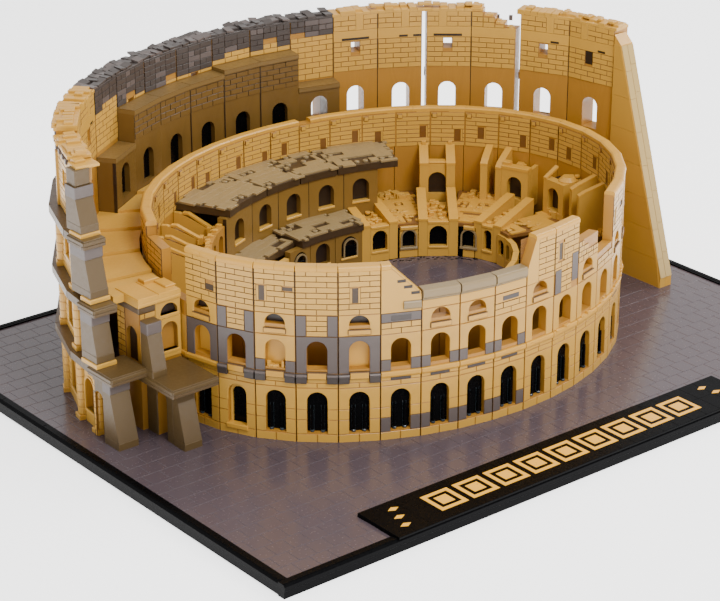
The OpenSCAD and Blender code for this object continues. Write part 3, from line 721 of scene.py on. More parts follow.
def ring_top():
    rim = Piece("ring_rim_tiles", "light_tile", LIGHT)
    crumbs = Piece("ring_edge_studs", "light_tile", LIGHT, MORTAR)
    for k in range(PANELS):
        at, w = chord(ring_point(k), ring_point(k + 1))
        if k in (34, 35, 36, 37):
            if k > 34:
                rounded_cap(coping, at, (0.5, w - 0.5), 134.8, 127.6, -RING_T - 0.2, 2.6)
                block(coping, at, (EDGE, w - EDGE), (-0.1, 1.5), (125.8, 127.4), 0.3, 0, 0)
            else:
                rounded_cap(rim, at, (0.3, w * 0.25), RING_TOP, RING_TOP - 4.6, -RING_T + 0.1, 1.1)
            continue
        if k in (27, 28):
            continue
        if k in (2, 3):
            top = (136 if k == 2 else 115.2) - PLATE
            for i in range(4):
                stud(crumbs, at, w * (i + 0.5) / 4, -RING_T / 2, top + (0 if i % 2 else 0.2))
            continue
        x0 = 0.3 if k else w * 0.3
        x1 = w - 0.3 - (12 if k == 17 else 0)
        half = (x0 + x1) / 2 if k % 3 else x1
        rounded_cap(rim, at, (x0, half - 0.1), RING_TOP, RING_TOP - 4.6, -RING_T + 0.1, 1.1)
        if half < x1:
            rounded_cap(rim, at, (half + 0.1, x1), RING_TOP, RING_TOP - 4.6, -RING_T + 0.1, 1.1)
    rim.make("ring_rim")
    crumbs.make()


def ring_inside():
    """Long courses on the inner face, small niches beside the joints and pale studs below the rim."""
    inner = Piece("ring_inner_masonry", "tan_brick", TAN, SOFT_JOINT)
    niches = Piece("ring_inner_niches", "slate", NICHE_SHADE, SHADE_AND_JOINT_BROWN)
    for k in range(PANELS):
        if k in (2, 3, 28, 34, 35, 36, 37):
            continue
        at, w = chord(ring_point(k + 1, RING_T), ring_point(k, RING_T))
        high = 154.4 if k != 27 else 142.0
        x = (w - 9.5, w - 2.5) if k % 3 else about(w / 2, 3.5)
        hole = x + ((127.0, 138.0) if k % 2 else (130.0, 141.0))
        courses(inner, at, (0.4, w - 0.4), (122.4, high), (hole,), w * 0.62, (-0.1, 0.5), 4.0)
        # The darker niche back is painted shade in the recess.
        block(niches, at, hole[:2], (-0.1, 0.12), hole[2:], 0.05, 0, 0)
        block(inner, at, (hole[1] - 1.4, hole[1]), (-0.1, 0.5), hole[2:], 0.1, 0, 0)
        if k != 27:
            block(inner, at, (1.5, 6.0), (-0.1, 1.7), (149.4, 153.6), 0.4, 0, 1)
    make_all(inner, niches)


# ---- Seating ----
def bowl_outline(t0, t1, d0, d1):
    """The outline of a stretch of the bowl between two angles and two distances from the ring."""
    steps = 8
    far = [inset(t0 + (t1 - t0) * i / steps, d0) for i in range(steps + 1)]
    near = [inset(t1 - (t1 - t0) * i / steps, d1) for i in range(steps + 1)]
    return [p + Vector((0, BOWL_Y)) for p in far + near]


def terrace(tiles, studs, t0, t1, d0, d1, z, gaps, thick=1.6):
    outline = bowl_outline(t0, t1, d0, d1)
    at = bowl_place((t0 + t1) / 2, d0)
    xs = [(p - at.origin).dot(at.along) for p in outline]
    ys = [(p - at.origin).dot(at.out) for p in outline]
    tiled(tiles, studs, at, outline, (min(xs), max(xs) + STUD), (min(ys), max(ys) + STUD), z, gaps, thick)


def arch_frame(piece, at, centre, width, sill, crown, y, thick=1.4):
    """A raised band round an arch."""
    r, spring = width / 2, crown - width / 2
    path = [(centre - r, sill, centre - r - thick, sill)]
    for i in range(13):
        c, s = math.cos(math.pi * (1 - i / 12)), math.sin(math.pi * (1 - i / 12))
        path.append((centre + r * c, spring + r * s, centre + (r + thick) * c, spring + (r + thick) * s))
    path.append((centre + r, sill, centre + r + thick, sill))
    piece.loft([[at(ax, y[1], az), at(bx, y[1], bz), at(bx, y[0], bz), at(ax, y[0], az)]
                for ax, az, bx, bz in path])


def facing(t0, t1, d):
    """The frame of a stretch of arcade, facing the arena, and its length."""
    return chord(inset(t1, d), inset(t0, d))


def seating():
    tiles = Piece("terrace_tiles", "greige", TERRACE)
    studs = Piece("terrace_studs", "greige", PALE_GREY)
    voids = Piece("arch_shadows", "inner_black", BLACK, SHADE_AND_JOINT_BROWN)
    trim = Piece("arch_frames", "light_tile", PALE_GREY, TAN)
    cuts = (58.2, 78.7, 92, 105.6, 126.8)
    for t0, t1 in zip(cuts, cuts[1:]):
        terrace(tiles, studs, t0, t1, 1.0, ARCADE_D + 2.4, TERRACE_Z, 0.3)
    terrace(tiles, studs, 76, 103.2, ARCADE_D, ARENA_D + 1.6, LOWER_Z, 0.3)
    terrace(tiles, studs, 103.4, 128, ARCADE_D, ARENA_D - 7.4, LOWER_Z - 3.2, 0.3)
    for t0, t1 in zip(UPPER_JOINTS, UPPER_JOINTS[1:]):
        at, w = facing(t0, t1, ARCADE_D)
        block(voids, at, about(w / 2, 8.2), (-6.6, -5.4), (93.0, 115.0), 0.1, 1, 1)
        block(trim, at, about(w / 2, 8.6), (-4, 0.9), (91.6, 93.7), 0.4, 1, 1)
        block(voids, at, (-0.32, 0.32), (-3, 0.15), (ARENA_Z, 121), 0.05, 1, 1)
    for t0, t1 in zip(SIDE_JOINTS, SIDE_JOINTS[1:]):
        at, w = facing(t0, t1, ARCADE_D - 1)
        block(voids, at, about(w / 2, 6.2), (-5.6, -4.4), (93.0, 111.0), 0.1, 1, 1)
    for t0, t1 in zip(LOWER_JOINTS, LOWER_JOINTS[1:]):
        at, w = facing(t0, t1, ARENA_D - 1)
        block(voids, at, about(w / 2, 8.2), (-5.6, -4.4), (57.0, 77.3), 0.1, 1, 1)
        block(trim, at, about(w / 2, 8.6), (-4, 0.9), (55.6, 57.6), 0.4, 1, 1)
    for t in (57.4, 27.6):
        at, w = facing(t - 3.9, t + 3.9, ARENA_D - 1)
        block(voids, at, about(w / 2, 6.2), (-4.6, -3.4), (57.0, 74.0), 0.1, 0, 0)
        arch_frame(trim, at, w / 2, 12, 57.6, 73.6, (-0.1, 1.0))
        block(trim, at, about(w / 2, 8), (-3, 1.4), (55.4, 57.7), 0.4, 0, 0)
        block(trim, at, (0.6, w - 0.6), (-4, 1.8), (74.2, 77.6), 0.6, 1, 1)
        for x in (-0.6, w + 0.6):
            block(voids, at, about(x, 1.0), (-5, -0.4), (ARENA_Z, 76), 0.05, 0, 0)
    for t in (103.4, 81.1):
        at = bowl_place(t, ARENA_D - 1)
        block(voids, at, (-6.2, 6.2), (-1, 0.35), (57.6, 68.0), 0.1, 0, 0)
        arch_frame(trim, at, 0, 12, 57.6, 73.6, (-0.1, 1.3))
    for i in range(21):
        t = 110 + 12 * i
        at, w = facing(t, t + 12, ARENA_D)
        block(voids, at, about(w / 2, 4.2), (-4.4, -3.4), (57.0, 72.4), 0.1, 0, 0)
    make_all(studs, tiles, voids, trim)


def towers():
    caps = Piece("tower_caps", "light_tile", LIGHT, TAN)
    voids = Piece("tower_shadows", "inner_black", BLACK, SHADE_AND_JOINT_BROWN)
    loose = Piece("rubble", "light_tile", LIGHT, TAN, DEEP)
    studs = Piece("rubble_studs", "light_tile", LIGHT)

    def sloped(at, x, points, lift=0.9):
        """Cap tiles over a sloped top, cut into lengths. points run from the low end to the high end."""
        for (y0, z0), (y1, z1) in zip(points, points[1:]):
            count = max(1, round(abs(y1 - y0) / 17))
            for i in range(count):
                a, b = i / count, (i + 1) / count
                ya, yb = y0 + (y1 - y0) * a - 0.1, y0 + (y1 - y0) * b + 0.1
                za, zb = z0 + (z1 - z0) * a, z0 + (z1 - z0) * b
                extruded(caps, at, x, [(ya, za - 1), (yb, zb - 1), (yb, zb + lift), (ya, za + lift)])

    for t, half, w in ((69.3, 13, 14), (44.5, 13.5, 15.6), (13, 10, 8)):
        at = bowl_place(t, ARENA_D)
        for side in (-1, 1):
            sloped(at, (side * half - 4.1, side * half + 4.1), [(0.5, 82.4), (-56, 91.2)])
        block(voids, at, (-w / 2 - 0.3, w / 2 + 0.3), (-6.0, -4.8), (57.0, 77.2), 0.1, 0, 0)
        block(loose, at, (-w / 2 - 1, w / 2 + 1), (-3, 1.0), (55.6, 57.8), 0.4, 1, 1)
        block(loose, at, (4.3 - half, half - 4.3), (-6, 0.5), (78.4, 81.2), 0.5, 0, 0)
        rubble(loose, at, (4.5 - half, half - 4.5), (-54, -8), 78.6, 22, (2.5, 5.5), (0.8, 3.6), 20)
        for n in range(5):
            stud(studs, at, random.uniform(7 - half, half - 7), -6 - 9 * n, 81.0)
    at = bowl_place(44, 24)
    for side in (-1, 1):
        sloped(at, (side * 12 - 4.1, side * 12 + 4.1), [(0.4, 112.8), (-23.6, 124)])
        block(caps, at, (side * 12 - 2, side * 12 + 2), (-23.4, -21), (124, 127.4), 0.4, 0, 0)
    block(caps, at, (-7.8, 7.8), (-11, -2.4), (112.4, 114.0), 0.5, 0, 0)
    block(voids, at, (-8.2, 8.2), (-8.4, -7.4), (83.0, 104.6), 0.1, 1, 1)
    at = bowl_place(28.6, 24)
    sloped(at, (-3.3, 3.3), [(0.4, 114.4), (-6, 118), (-23.6, 124.8)])
    at = bowl_place(17.7, 24)
    sloped(at, (10.9, 17.1), [(0.4, 112), (-4, 116), (-23.6, 124.8)])
    tile(caps, at, (-15.4, 10.8), (-8.3, 0.4), (112.6, 115.6))
    tile(caps, at, (4, 10.8), (-8.3, -2), (115.4, 118.6))
    rubble(loose, at, (-14, 10), (-23, -9), 96, 12, (4, 8), (8, 18), 12)
    block(voids, at, (-9.2, 5.2), (-7.6, -6.6), (85.0, 107.0), 0.1, 1, 1)
    at = bowl_place(-1, 24)
    sloped(at, (6.8, 11.0), [(0.4, 112.8), (-14, 120.8)])
    block(voids, at, (-9.2, 5.2), (-7.6, -6.6), (85.0, 107.0), 0.1, 1, 1)
    block(voids, at, (-8, 6.8), (-16, -8), (100, 112.2), 0.1, 1, 1)
    drum(caps, at, -8, -12, 8.5, (98, 117), 3.2, 20, 0)
    for n in range(3):
        stud(studs, at, -12 + 7 * n, -19, 116 - 2 * n)
    for t in (-14, -21):
        at = bowl_place(t, 24)
        sloped(at, (-2.7, 2.7), [(0.4, 114.4), (-6, 118), (-23.6, 124.8)])
        rubble(loose, at, (-12, 12), (-30, 2), 79, 14, (3, 7), (1, 5), 20)
    for t0, t1 in ((50.5, 64.5), (20.5, 37.5), (-12, 5)):
        terrace(loose, studs, t0 + 0.3, t1 - 0.3, 8, ARENA_D - 2, 79.2, 0.34, 1.5)
        at = bowl_place((t0 + t1) / 2, 0)
        rubble(loose, at, (-18, 18), (8, 26), 79.4, 16, (3, 8), (2, 6), 25, 1)
        rubble(loose, at, (-11, 11), (40, 80), 80.4, 12, (1.8, 4), (0.6, 1.6), 25, 1)
    for t in (127.6, 137, 145.6, 155):
        at = bowl_place(t, ARCADE_D - 8)
        sloped(at, (-2.2, 2.2), [(0.3, 108), (-26.8, 121.8), (-31.8, 121.8)], 0.8)
        rubble(loose, at, (-5, 5), (-9, 5), 108, 9, (2.5, 5.5), (2.0, 6.5), 25)
    for t in (132, 141, 150):
        at = bowl_place(t, ARCADE_D - 6)
        rubble(loose, at, (-10, 10), (-2, 4), 115.8, 7, (2.5, 5.0), (0.8, 2.6), 10)
    make_all(caps, voids, loose, studs)


# ---- Outer wall, inside ----
def outer_top(i):
    """The top of a bay. The last two step down."""
    return OUTER_TOP - {15: 4.8, 16: 8.0}.get(i, 0.0)


def seam_margin(i):
    return 2.5 if i in OPEN_JOINTS else 0.45


def outer_inside():
    brick = Piece("outer_inner_masonry", "tan_brick", TAN, SOFT_JOINT)
    plain = Piece("outer_inner_panels", "tan_brick", TAN, DEEP)
    purple = Piece("outer_grey_masonry", "slate", SLATE, SHADE_AND_JOINT_BROWN, GREY)
    # Dark brown strips in the seams, the back of the first window and the dark slots: painted shade.
    gaps = Piece("outer_wall_seam_shade", "slate", SHADE_AND_JOINT_BROWN, SHADE_AND_JOINT_BROWN)
    thin = (-0.1, 0.6)
    for i in range(16):
        at, w = chord(outer_point(i + 1, 0), outer_point(i, 0))
        x = (seam_margin(i + 1), w - seam_margin(i))
        hole = (w / 2 - 4.1, w / 2 + 4.1, 198.2, 208.2) if i % 2 else (0, 0, 0, 0)
        if i == 0:
            hole = (w * 0.45 - 4, w * 0.45 + 4, 197.0, 209.0)
            # Dark back of the window: painted shade.
            block(gaps, at, hole[:2], (-0.1, 0.1), hole[2:], 0.05)
        # A dark strip in each closed seam: painted shade in the gap.
        if i > 0 and i not in OPEN_JOINTS:
            block(gaps, at, about(w, 0.4), (-3, 0.1), (FLOOR, outer_top(i) - 1), 0.05)
        low = 181.0 if i < 6 else 178.0 if i == 6 else 211.0 if i < 9 else 206.0 if i < 12 else 180.0
        if 6 <= i <= 12:
            shift = 218.0 if i < 9 else 209.0 if i < 12 else 218.0
            if low < 209:
                courses(brick, at, x, (low, 209.0), (hole,), 14, thin)
            if shift > 210:
                courses(brick, at, x, (209.0, shift), (hole,), 14, thin)
            third = (x[1] - x[0]) / 3
            for n in range(3):
                foot = shift + random.choice((-4.7, 0.0, 4.7)) if i != 9 else shift
                span = (x[0] + third * n, x[0] + third * (n + 1))
                band = (max(low, foot), 233.4)
                courses(purple, at, span, band, (), 14, (-0.1, 0.95), face=(0, 0, 0, 0, 2))
            continue
        courses(brick, at, x, (low, 209.2), (hole,), 14, thin)
        block(plain, at, x, (-0.1, 0.55), (209.4, 219.0), 0.1, 0, 0)
        # Dark slots below the band: painted shade.
        if i in (3, 5):
            block(gaps, at, about(w / 2, 13), (0.2, 0.62), (210.0, 212.2), 0.05)
        elif i != 2:
            for share in ((0.55, 0.85) if i == 4 else (0.72,)):
                block(gaps, at, (w * share - 4, w * share + 4), (0.2, 0.62), (210.0, 212.0), 0.05)
        if i == 2:
            steps = ((x[0], w * 0.25, 233.4), (w * 0.25, w * 0.5, 228.6), (w * 0.5, w * 0.7, 222.2))
            for a, b, top in steps:
                courses(brick, at, (a, b), (219.2, top), (), 10, thin)
                rubble(brick, at, (a, b), (-14, 0), top, 6, (3, 7), (0.8, 2.6), 4)
            rubble(brick, at, (w * 0.72, w - 3), (-14, 0), 217.4, 6, (3, 7), (0.8, 2.6), 4)
        else:
            patch = x[0] + random.choice((0.25, 0.5)) * w
            band = (219.2, outer_top(i) - 0.2)
            block(plain, at, (patch, patch + 7), thin, band, 0.1, 0, 0)
            courses(brick, at, x, band, ((patch, patch + 7, 219, 234),), 14, thin)
    make_all(brick, plain, purple, gaps)


def lay_slates(piece, at, a, b):
    """A flat slate on the wall's top, and up to three that lean on it."""
    tile(piece, at, (a, b), (-16.2, random.uniform(0.5, 2.0)), (233.3, 234.8), 0.3)
    for y in (-12.6, -7.4, -1.8):
        if random.random() < 0.9:
            spot = at.turned((a + b) / 2, y, random.uniform(-9, 9))
            up, across = random.uniform(-0.6, 2.0), random.uniform(-1.4, 1.4)
            z = 234.8 + max(0, -up) * 0.6 + max(0, -across) * 0.8
            leaning(piece, spot, (-3.9, 3.9), (-3.6, 3.6), z, across, up, 1.6, random.choice((0, 0, 0, 1)))


def lay_tiles(piece, at, a, b, drop, wide):
    """One to three flat tiles on each other, on a wall that is lower by drop."""
    front = random.uniform(2.0, 4.8) if wide else random.uniform(0.3, 2.6)
    back = random.uniform(-16.8, -15.9)
    tile(piece, at, (a, b), (back, front), (233.2 - drop, 235.4 - drop + random.uniform(0, 0.6)), 0.4, 0, 1)
    if random.random() < 0.72:
        x = (a + random.uniform(-0.8, 0.8), b)
        y = (back + random.choice((0, 0, 4, 8)), front - random.uniform(0.5, 4))
        tile(piece, at, x, y, (235.3 - drop, 237.8 - drop), 0.4, 0, 1)
    if random.random() < (0.5 if wide else 0.3):
        x = (a, b - random.uniform(0, 3))
        y = (-13, front - random.uniform(4, 9))
        tile(piece, at, x, y, (237.7 - drop, 239.8 - drop), 0.4, 0, 1)


def crest():
    """Layered flat tiles on the tan bays, leaning slates on the grey ones."""
    flat = Piece("crest_layers", "light_tile", LIGHT, TAN, DEEP)
    leant = Piece("crest_slates", "slate", SLATE, GREY, PALE_GREY)
    for i in range(17):
        at, w = chord(outer_point(i, OUTER_T), outer_point(i + 1, OUTER_T))
        if i == 2:
            tile(flat, at, (w * 0.77, w - 0.6), (-15.8, 1), (233.4, 236.4))
            rubble(flat, at, (w * 0.77, w - 1), (-15, 0), 236.2, 4, (4, 8), (1.0, 2.4), 5)
            continue
        grey = 6 <= i <= 12
        count = int((w - 1) / (8.0 if grey else 6.4))
        for j in range(count):
            a = 0.6 + (w - 1.2) * j / count
            b = 0.6 + (w - 1.2) * (j + 1) / count - 0.15
            if i == 16 and b > 17:
                break
            if grey:
                lay_slates(leant, at, a, b)
            else:
                lay_tiles(flat, at, a, b, OUTER_TOP - outer_top(i), i > 12)
    flat.make("crest_tiles")
    leant.make()


# ---- Outer wall, outside ----
def outer_outside():
    brick = Piece("outer_masonry", "tan_brick", TAN, SOFT_JOINT)
    plain = Piece("outer_panels", "tan_brick", TAN, DEEP)
    shafts = Piece("outer_columns", "tan_brick", TAN, DEEP)
    capitals = Piece("outer_capitals", "slate", GREY, CORNICE)
    shadow = Piece("outer_shadows", "slate", SHADE_AND_JOINT_BROWN, SHADE_AND_JOINT_BROWN)
    feet = (FLOOR, LEVELS[0], LEVELS[1])
    storeys = list(zip(feet, LEVELS, (21.6, 80.0, 137.6), (50.4, 108.8, 166.4)))
    for i in range(17):
        at, w = chord(outer_point(i, OUTER_T), outer_point(i + 1, OUTER_T))
        c = w / 2
        middle = about(c, 9.4)
        for foot, level, sill, crown in storeys[:1] if i == 16 else storeys:
            top = level - 6.4
            for x in ((4.8, c - 9.6), (c + 9.6, w - 4.8)):
                courses(brick, at, x, (foot + 0.2, top - 0.2), (), 11, (-0.1, 0.5))
            block(plain, at, middle, (-0.1, 0.6), (foot + 0.2, sill - 2.2), 0.2, 0, 0)
            block(plain, at, about(c, 9.8), (-3, 1.6), (sill - 2.0, sill), 0.4, 0, 0)
            if top - crown > 3:
                arch_panel(plain, at, middle, (sill, top - 0.2), c, 16, sill, crown, (-0.1, 0.6), 0.3)
            arch_frame(plain, at, c, 16, sill, crown - 0.2, (-0.1, 1.3), 1.5)
        if i == 16:
            continue
        high = outer_top(i) - 0.4 if i != 2 else 217.2
        hole = (c - 4.1, c + 4.1, 198.2, 208.2)
        courses(brick, at, (4.4, w - 4.4), (173.2, high), (hole,), 14, (-0.1, 0.5))
        for x in ((c - 5.4, c - 4.2), (c + 4.2, c + 5.4)):
            block(plain, at, x, (-0.1, 1.2), (197.0, 209.4), 0.3, 0, 0)
        block(plain, at, about(c, 6.4), (-0.1, 1.6), (195.4, 197.2), 0.4, 0, 0)
        if i % 2 == 0:
            block(shadow, at, about(c, 4.1), (-0.1, 0.1), (198.2, 208.2), 0.05)
        for n in range(int(w / 12)):
            x = (w - 12 * int(w / 12)) / 2 + 12 * n + 6
            block(capitals, at, about(x, 1.6), (-0.1, 3.0), (222.0, 226.4), 0.4, 0, 0)
    for i in range(18):
        if i in OPEN_JOINTS:
            continue
        t = even(OUTER_A, OUTER_B, OUTER_SEAMS[i])
        n = outward(OUTER_A, OUTER_B, t)
        at = Place(outer_point(i, OUTER_T + 0.2), (-n.y, n.x), (n.x, n.y))
        for foot, level in zip(feet[:1] if i == 17 else feet, LEVELS):
            rows = int((level - foot - 14) / 6.6)
            tall = (level - foot - 14) / rows
            for r in range(rows):
                low = foot + 4.4 + tall * r
                drum(shafts, at, 0, 0, 4.35, (low + 0.1, low + tall - 0.1), 0.5, 16)
            tile(shafts, at, (-5, 5), (-0.5, 5.0), (foot, foot + 4.4))
            tile(capitals, at, (-5.2, 5.2), (-0.5, 5.4), (level - 9.6, level - 6.4))
        if i < 17:
            tile(plain, at, (-3.2, 3.2), (-0.5, 1.6), (173.0, 218.0))
    make_all(brick, plain, shafts, capitals, shadow)


def gallery():
    dark_brick = Piece("gallery_masonry", "dark_tan", DARK_TAN, SHADE_AND_JOINT_BROWN)
    edge = Piece("gallery_roof_tiles", "dark_tan", ROOF, DARK_TAN)
    voids = Piece("gallery_shadows", "inner_black", BLACK, SHADE_AND_JOINT_BROWN)
    for i in range(6, 13):
        at, w = chord(outer_point(i + 1, -GALLERY_D), outer_point(i, -GALLERY_D))
        top = 176.0 if i in (6, 12) else 208.0 if i < 9 else 204.8
        if i not in (6, 12):
            courses(dark_brick, at, (0.4, w - 0.4), (179.6, top - 4.4), (), 13, (-0.1, 0.5))
        block(dark_brick, at, (-0.1, w + 0.1), (-0.1, 0.9), (top - 4.2, top - 3.2), 0.2, 0, 0)
        if i != 6:
            block(voids, at, about(w / 2, 8.2), (-5.95, -4.8), (137.0, 166.8), 0.1, 0, 0)
        if i in (7, 8, 12, 9):
            block(voids, at, (-0.5, 0.5), (-2, 0.7), (120, top - 3.4), 0.05, 1, 1)
        wall, rim = -0.4, -GALLERY_D - 1.0
        roof = [outer_point(i, wall), outer_point(i + 1, wall), outer_point(i + 1, rim), outer_point(i, rim)]
        middle = sum(roof, Vector((0, 0))) / 4
        roof = [p + (middle - p) * 0.012 for p in roof]
        edge.loft([[BOWL(p.x, p.y, z) for p in roof] for z in (top - 0.1, top + 0.7)], [1])
    make_all(dark_brick, edge, voids)


# ---- Stepped ruin at the left-hand end ----
def front(x, y):
    """A frame on a face that looks to the front."""
    return Place((x, y), (1, 0), (0, -1), bowl=False)


def left(x, y):
    """A frame on a face that looks to the left."""
    return Place((x, y), (0, -1), (-1, 0), bowl=False)


def west():
    capitals = Piece("pier_capitals", "slate", GREY, GREIGE)
    cornice = Piece("west_cornices", "dark_tan", CORNICE, GREIGE)
    tops = Piece("west_platform_tiles", "greige", GREIGE, CORNICE)
    brick = Piece("west_masonry", "tan_brick", TAN, SOFT_JOINT)
    plain = Piece("west_panels", "tan_brick", TAN, DEEP)
    voids = Piece("west_shadows", "inner_black", BLACK, SHADE_AND_JOINT_BROWN)
    slabs = Piece("walkway_tiles", "light_tile", LIGHT, TAN)
    spurs = Piece("west_spur_panels", "greige", GREIGE, GREIGE)
    for x, y, w, depth, z0, z1, lean in PIERS:
        at = front(x, y + lean)
        side = left(x, y + depth)
        if z1 > 60:  # the pier under the inner platform has no capital
            block(capitals, at, (-0.4, w + 0.4), (-4, 1.0), (z1 - 9.4, z1 - 0.1), 0.5, 0, 0)
            block(capitals, side, (0.2, depth - lean - 0.3), (-0.1, 0.3), (z1 - 9.4, z1 - 0.1), 0.2, 0, 0)
        block(capitals, front(x, y), (-0.3, w + 0.3), (-3, 0.4), (z0, z0 + 6.2), 0.3, 1, 1)
        block(capitals, side, (0.2, depth - 0.2), (-0.1, 0.2), (z0, z0 + 6.2), 0.1, 1, 1)
    for x0, x1, y0, y1, top in PLATFORMS:
        for at, length in ((front(x0, y0), x1 - x0), (left(x0, y1), y1 - y0)):
            block(cornice, at, (0, length), (-0.1, 0.5), (top - 6.3, top - 3.5), 0.4, 0, 0)
            block(cornice, at, (0, length), (-0.1, 0.9), (top - 3.3, top - 0.2), 0.4, 1, 1)
        tile(tops, BASE, (x0 + 0.3, x1 - 0.3), (y0 + 0.3, y1 - 0.3), (top - 0.1, top + 0.8), 0.3, 0, 0)
    at = front(-258, 9)
    arch_panel(plain, at, (0.4, 38.6), (66, 99.8), 28, 15, 72, 96, sides=0)
    arch_panel(plain, at, (15, 38.6), (100.2, 115), 28, 16, 103, 112, sides=0)
    courses(brick, at, (0.4, 14.8), (100.2, 109.4), length=9)
    block(cornice, at, (-1.0, 14.8), (-0.1, 1.4), (109.8, 115.0), 0.5, 0, 0)
    block(cornice, left(-258, 39), (0, 31.2), (-0.1, 1.4), (109.8, 115.0), 0.5, 0, 0)
    block(plain, at, (19, 37), (-3.6, 1.2), (100.0, 103.0), 0.4, 0, 0)
    block(plain, at, (19.4, 36.6), (-3.6, 1.2), (69.4, 72.0), 0.4, 0, 0)
    block(voids, at, (19.6, 36.4), (-4.0, -3.4), (103, 112.4), 0.1, 1, 1)
    block(voids, at, (21.2, 34.8), (-4.0, -3.4), (17.6, 50.6), 0.1, 0, 0)
    side = left(-258, 39)
    block(voids, side, (11.2, 26.8), (-4.0, -3.4), (65, 96.4), 0.1, 1, 1)
    courses(brick, side, (0.4, 11.0), (66, 109.6), length=9)
    for x0, x1, y0, y1, top in FOOT_BLOCKS:
        tile(slabs, BASE, (x0 - 0.3, x1 + 0.3), (y0 - 0.3, y1), (top - 3.4, top + 0.1), 0.4, 1, 1)
    block(capitals, front(-289.5, 41.5), (-0.3, 13.3), (-4, 0.5), (213, 225.4), 0.5, 1, 1)
    courses(brick, left(-291.6, 26), (0.3, 3.0), (10, 64), length=9)
    for x0, x1, y0, y1, z1 in ((-291.6, -277, 10.4, 26, 64), (-253, -239, -27, 8.4, 57.6)):
        middle = y1 - (18.2 if x0 < -280 else -12)
        span = left(x0, y1)
        block(plain, front(x0, y0), (0.3, x1 - x0 - 0.3), (-0.1, 0.6), (FLOOR, z1 - 0.4), 0.2, 0, 0)
        arch_panel(spurs, span, (0.2, y1 - y0 - 0.2), (FLOOR, z1 - 0.3), middle, 12.8, FLOOR, 50.4, sides=0)
        block(voids, front(x1 - 4, y0 + 1), (0, 1.0), (-(y1 - y0) + 2, 0), (FLOOR, 50.2), 0.05, 1, 1)
    block(slabs, front(-259.6, 7), (0.2, 39.8), (-0.1, 0.7), (115.4, 118.2), 0.5, 1, 1)
    tile(slabs, BASE, (-259.2, -240.2), (7.4, 39.6), (121.5, 122.4), 0.5)
    tile(slabs, BASE, (-239.8, -220.0), (7.4, 39.6), (121.5, 122.4), 0.5)
    tile(slabs, BASE, (-238.0, -224.0), (30.0, 39.0), (122.3, 125.4), 0.6)
    tile(slabs, BASE, (-229.0, -219.0), (14.0, 30.0), (122.3, 124.0), 0.6)
    make_all(spurs, capitals, cornice, tops, brick, plain, voids, slabs)


def buttress():
    blocks = Piece("buttress_blocks", "tan_brick", TAN, SOFT_JOINT)
    edge = Piece("buttress_edge", "greige", BUTTRESS_EDGE, CORNICE)
    foot_y, lean_y, low, high = BOWL_Y - 65.6, BOWL_Y - 3.6, 19.2, 222.0

    def slope_y(z):
        return foot_y + (lean_y - foot_y) * max(0.0, (z - low)) / (high - low)

    zs = [FLOOR, 36.0, 62.0, 90.0, 118.0, 147.0, 176.0, 200.0, high]
    for z0, z1 in zip(zs, zs[1:]):
        back, y0, y1 = BOWL_Y + 4.6, slope_y(z0) + 0.4, slope_y(z1) + 0.4
        face = [(y0, z0 + 0.12), (back, z0 + 0.12), (back, z1 - 0.12), (y1, z1 - 0.12)]
        for x in ((263.9, 264.5), (278.3, 278.8)):
            extruded(blocks, BASE, x, face)
        for x, shift in (((264.5, 271.1), 0), ((271.5, 278.3), 5)):
            a = max(z0, low) + (shift if z0 > low else 0)
            b = z1 + (shift if z1 < high else 0)
            ya, yb = slope_y(a), slope_y(b)
            extruded(edge, BASE, x, [(ya + 1, a + 0.15), (yb + 1, b - 0.15), (yb - 0.7, b - 0.15),
                                     (ya - 0.7, a + 0.15)])
    make_all(blocks, edge)


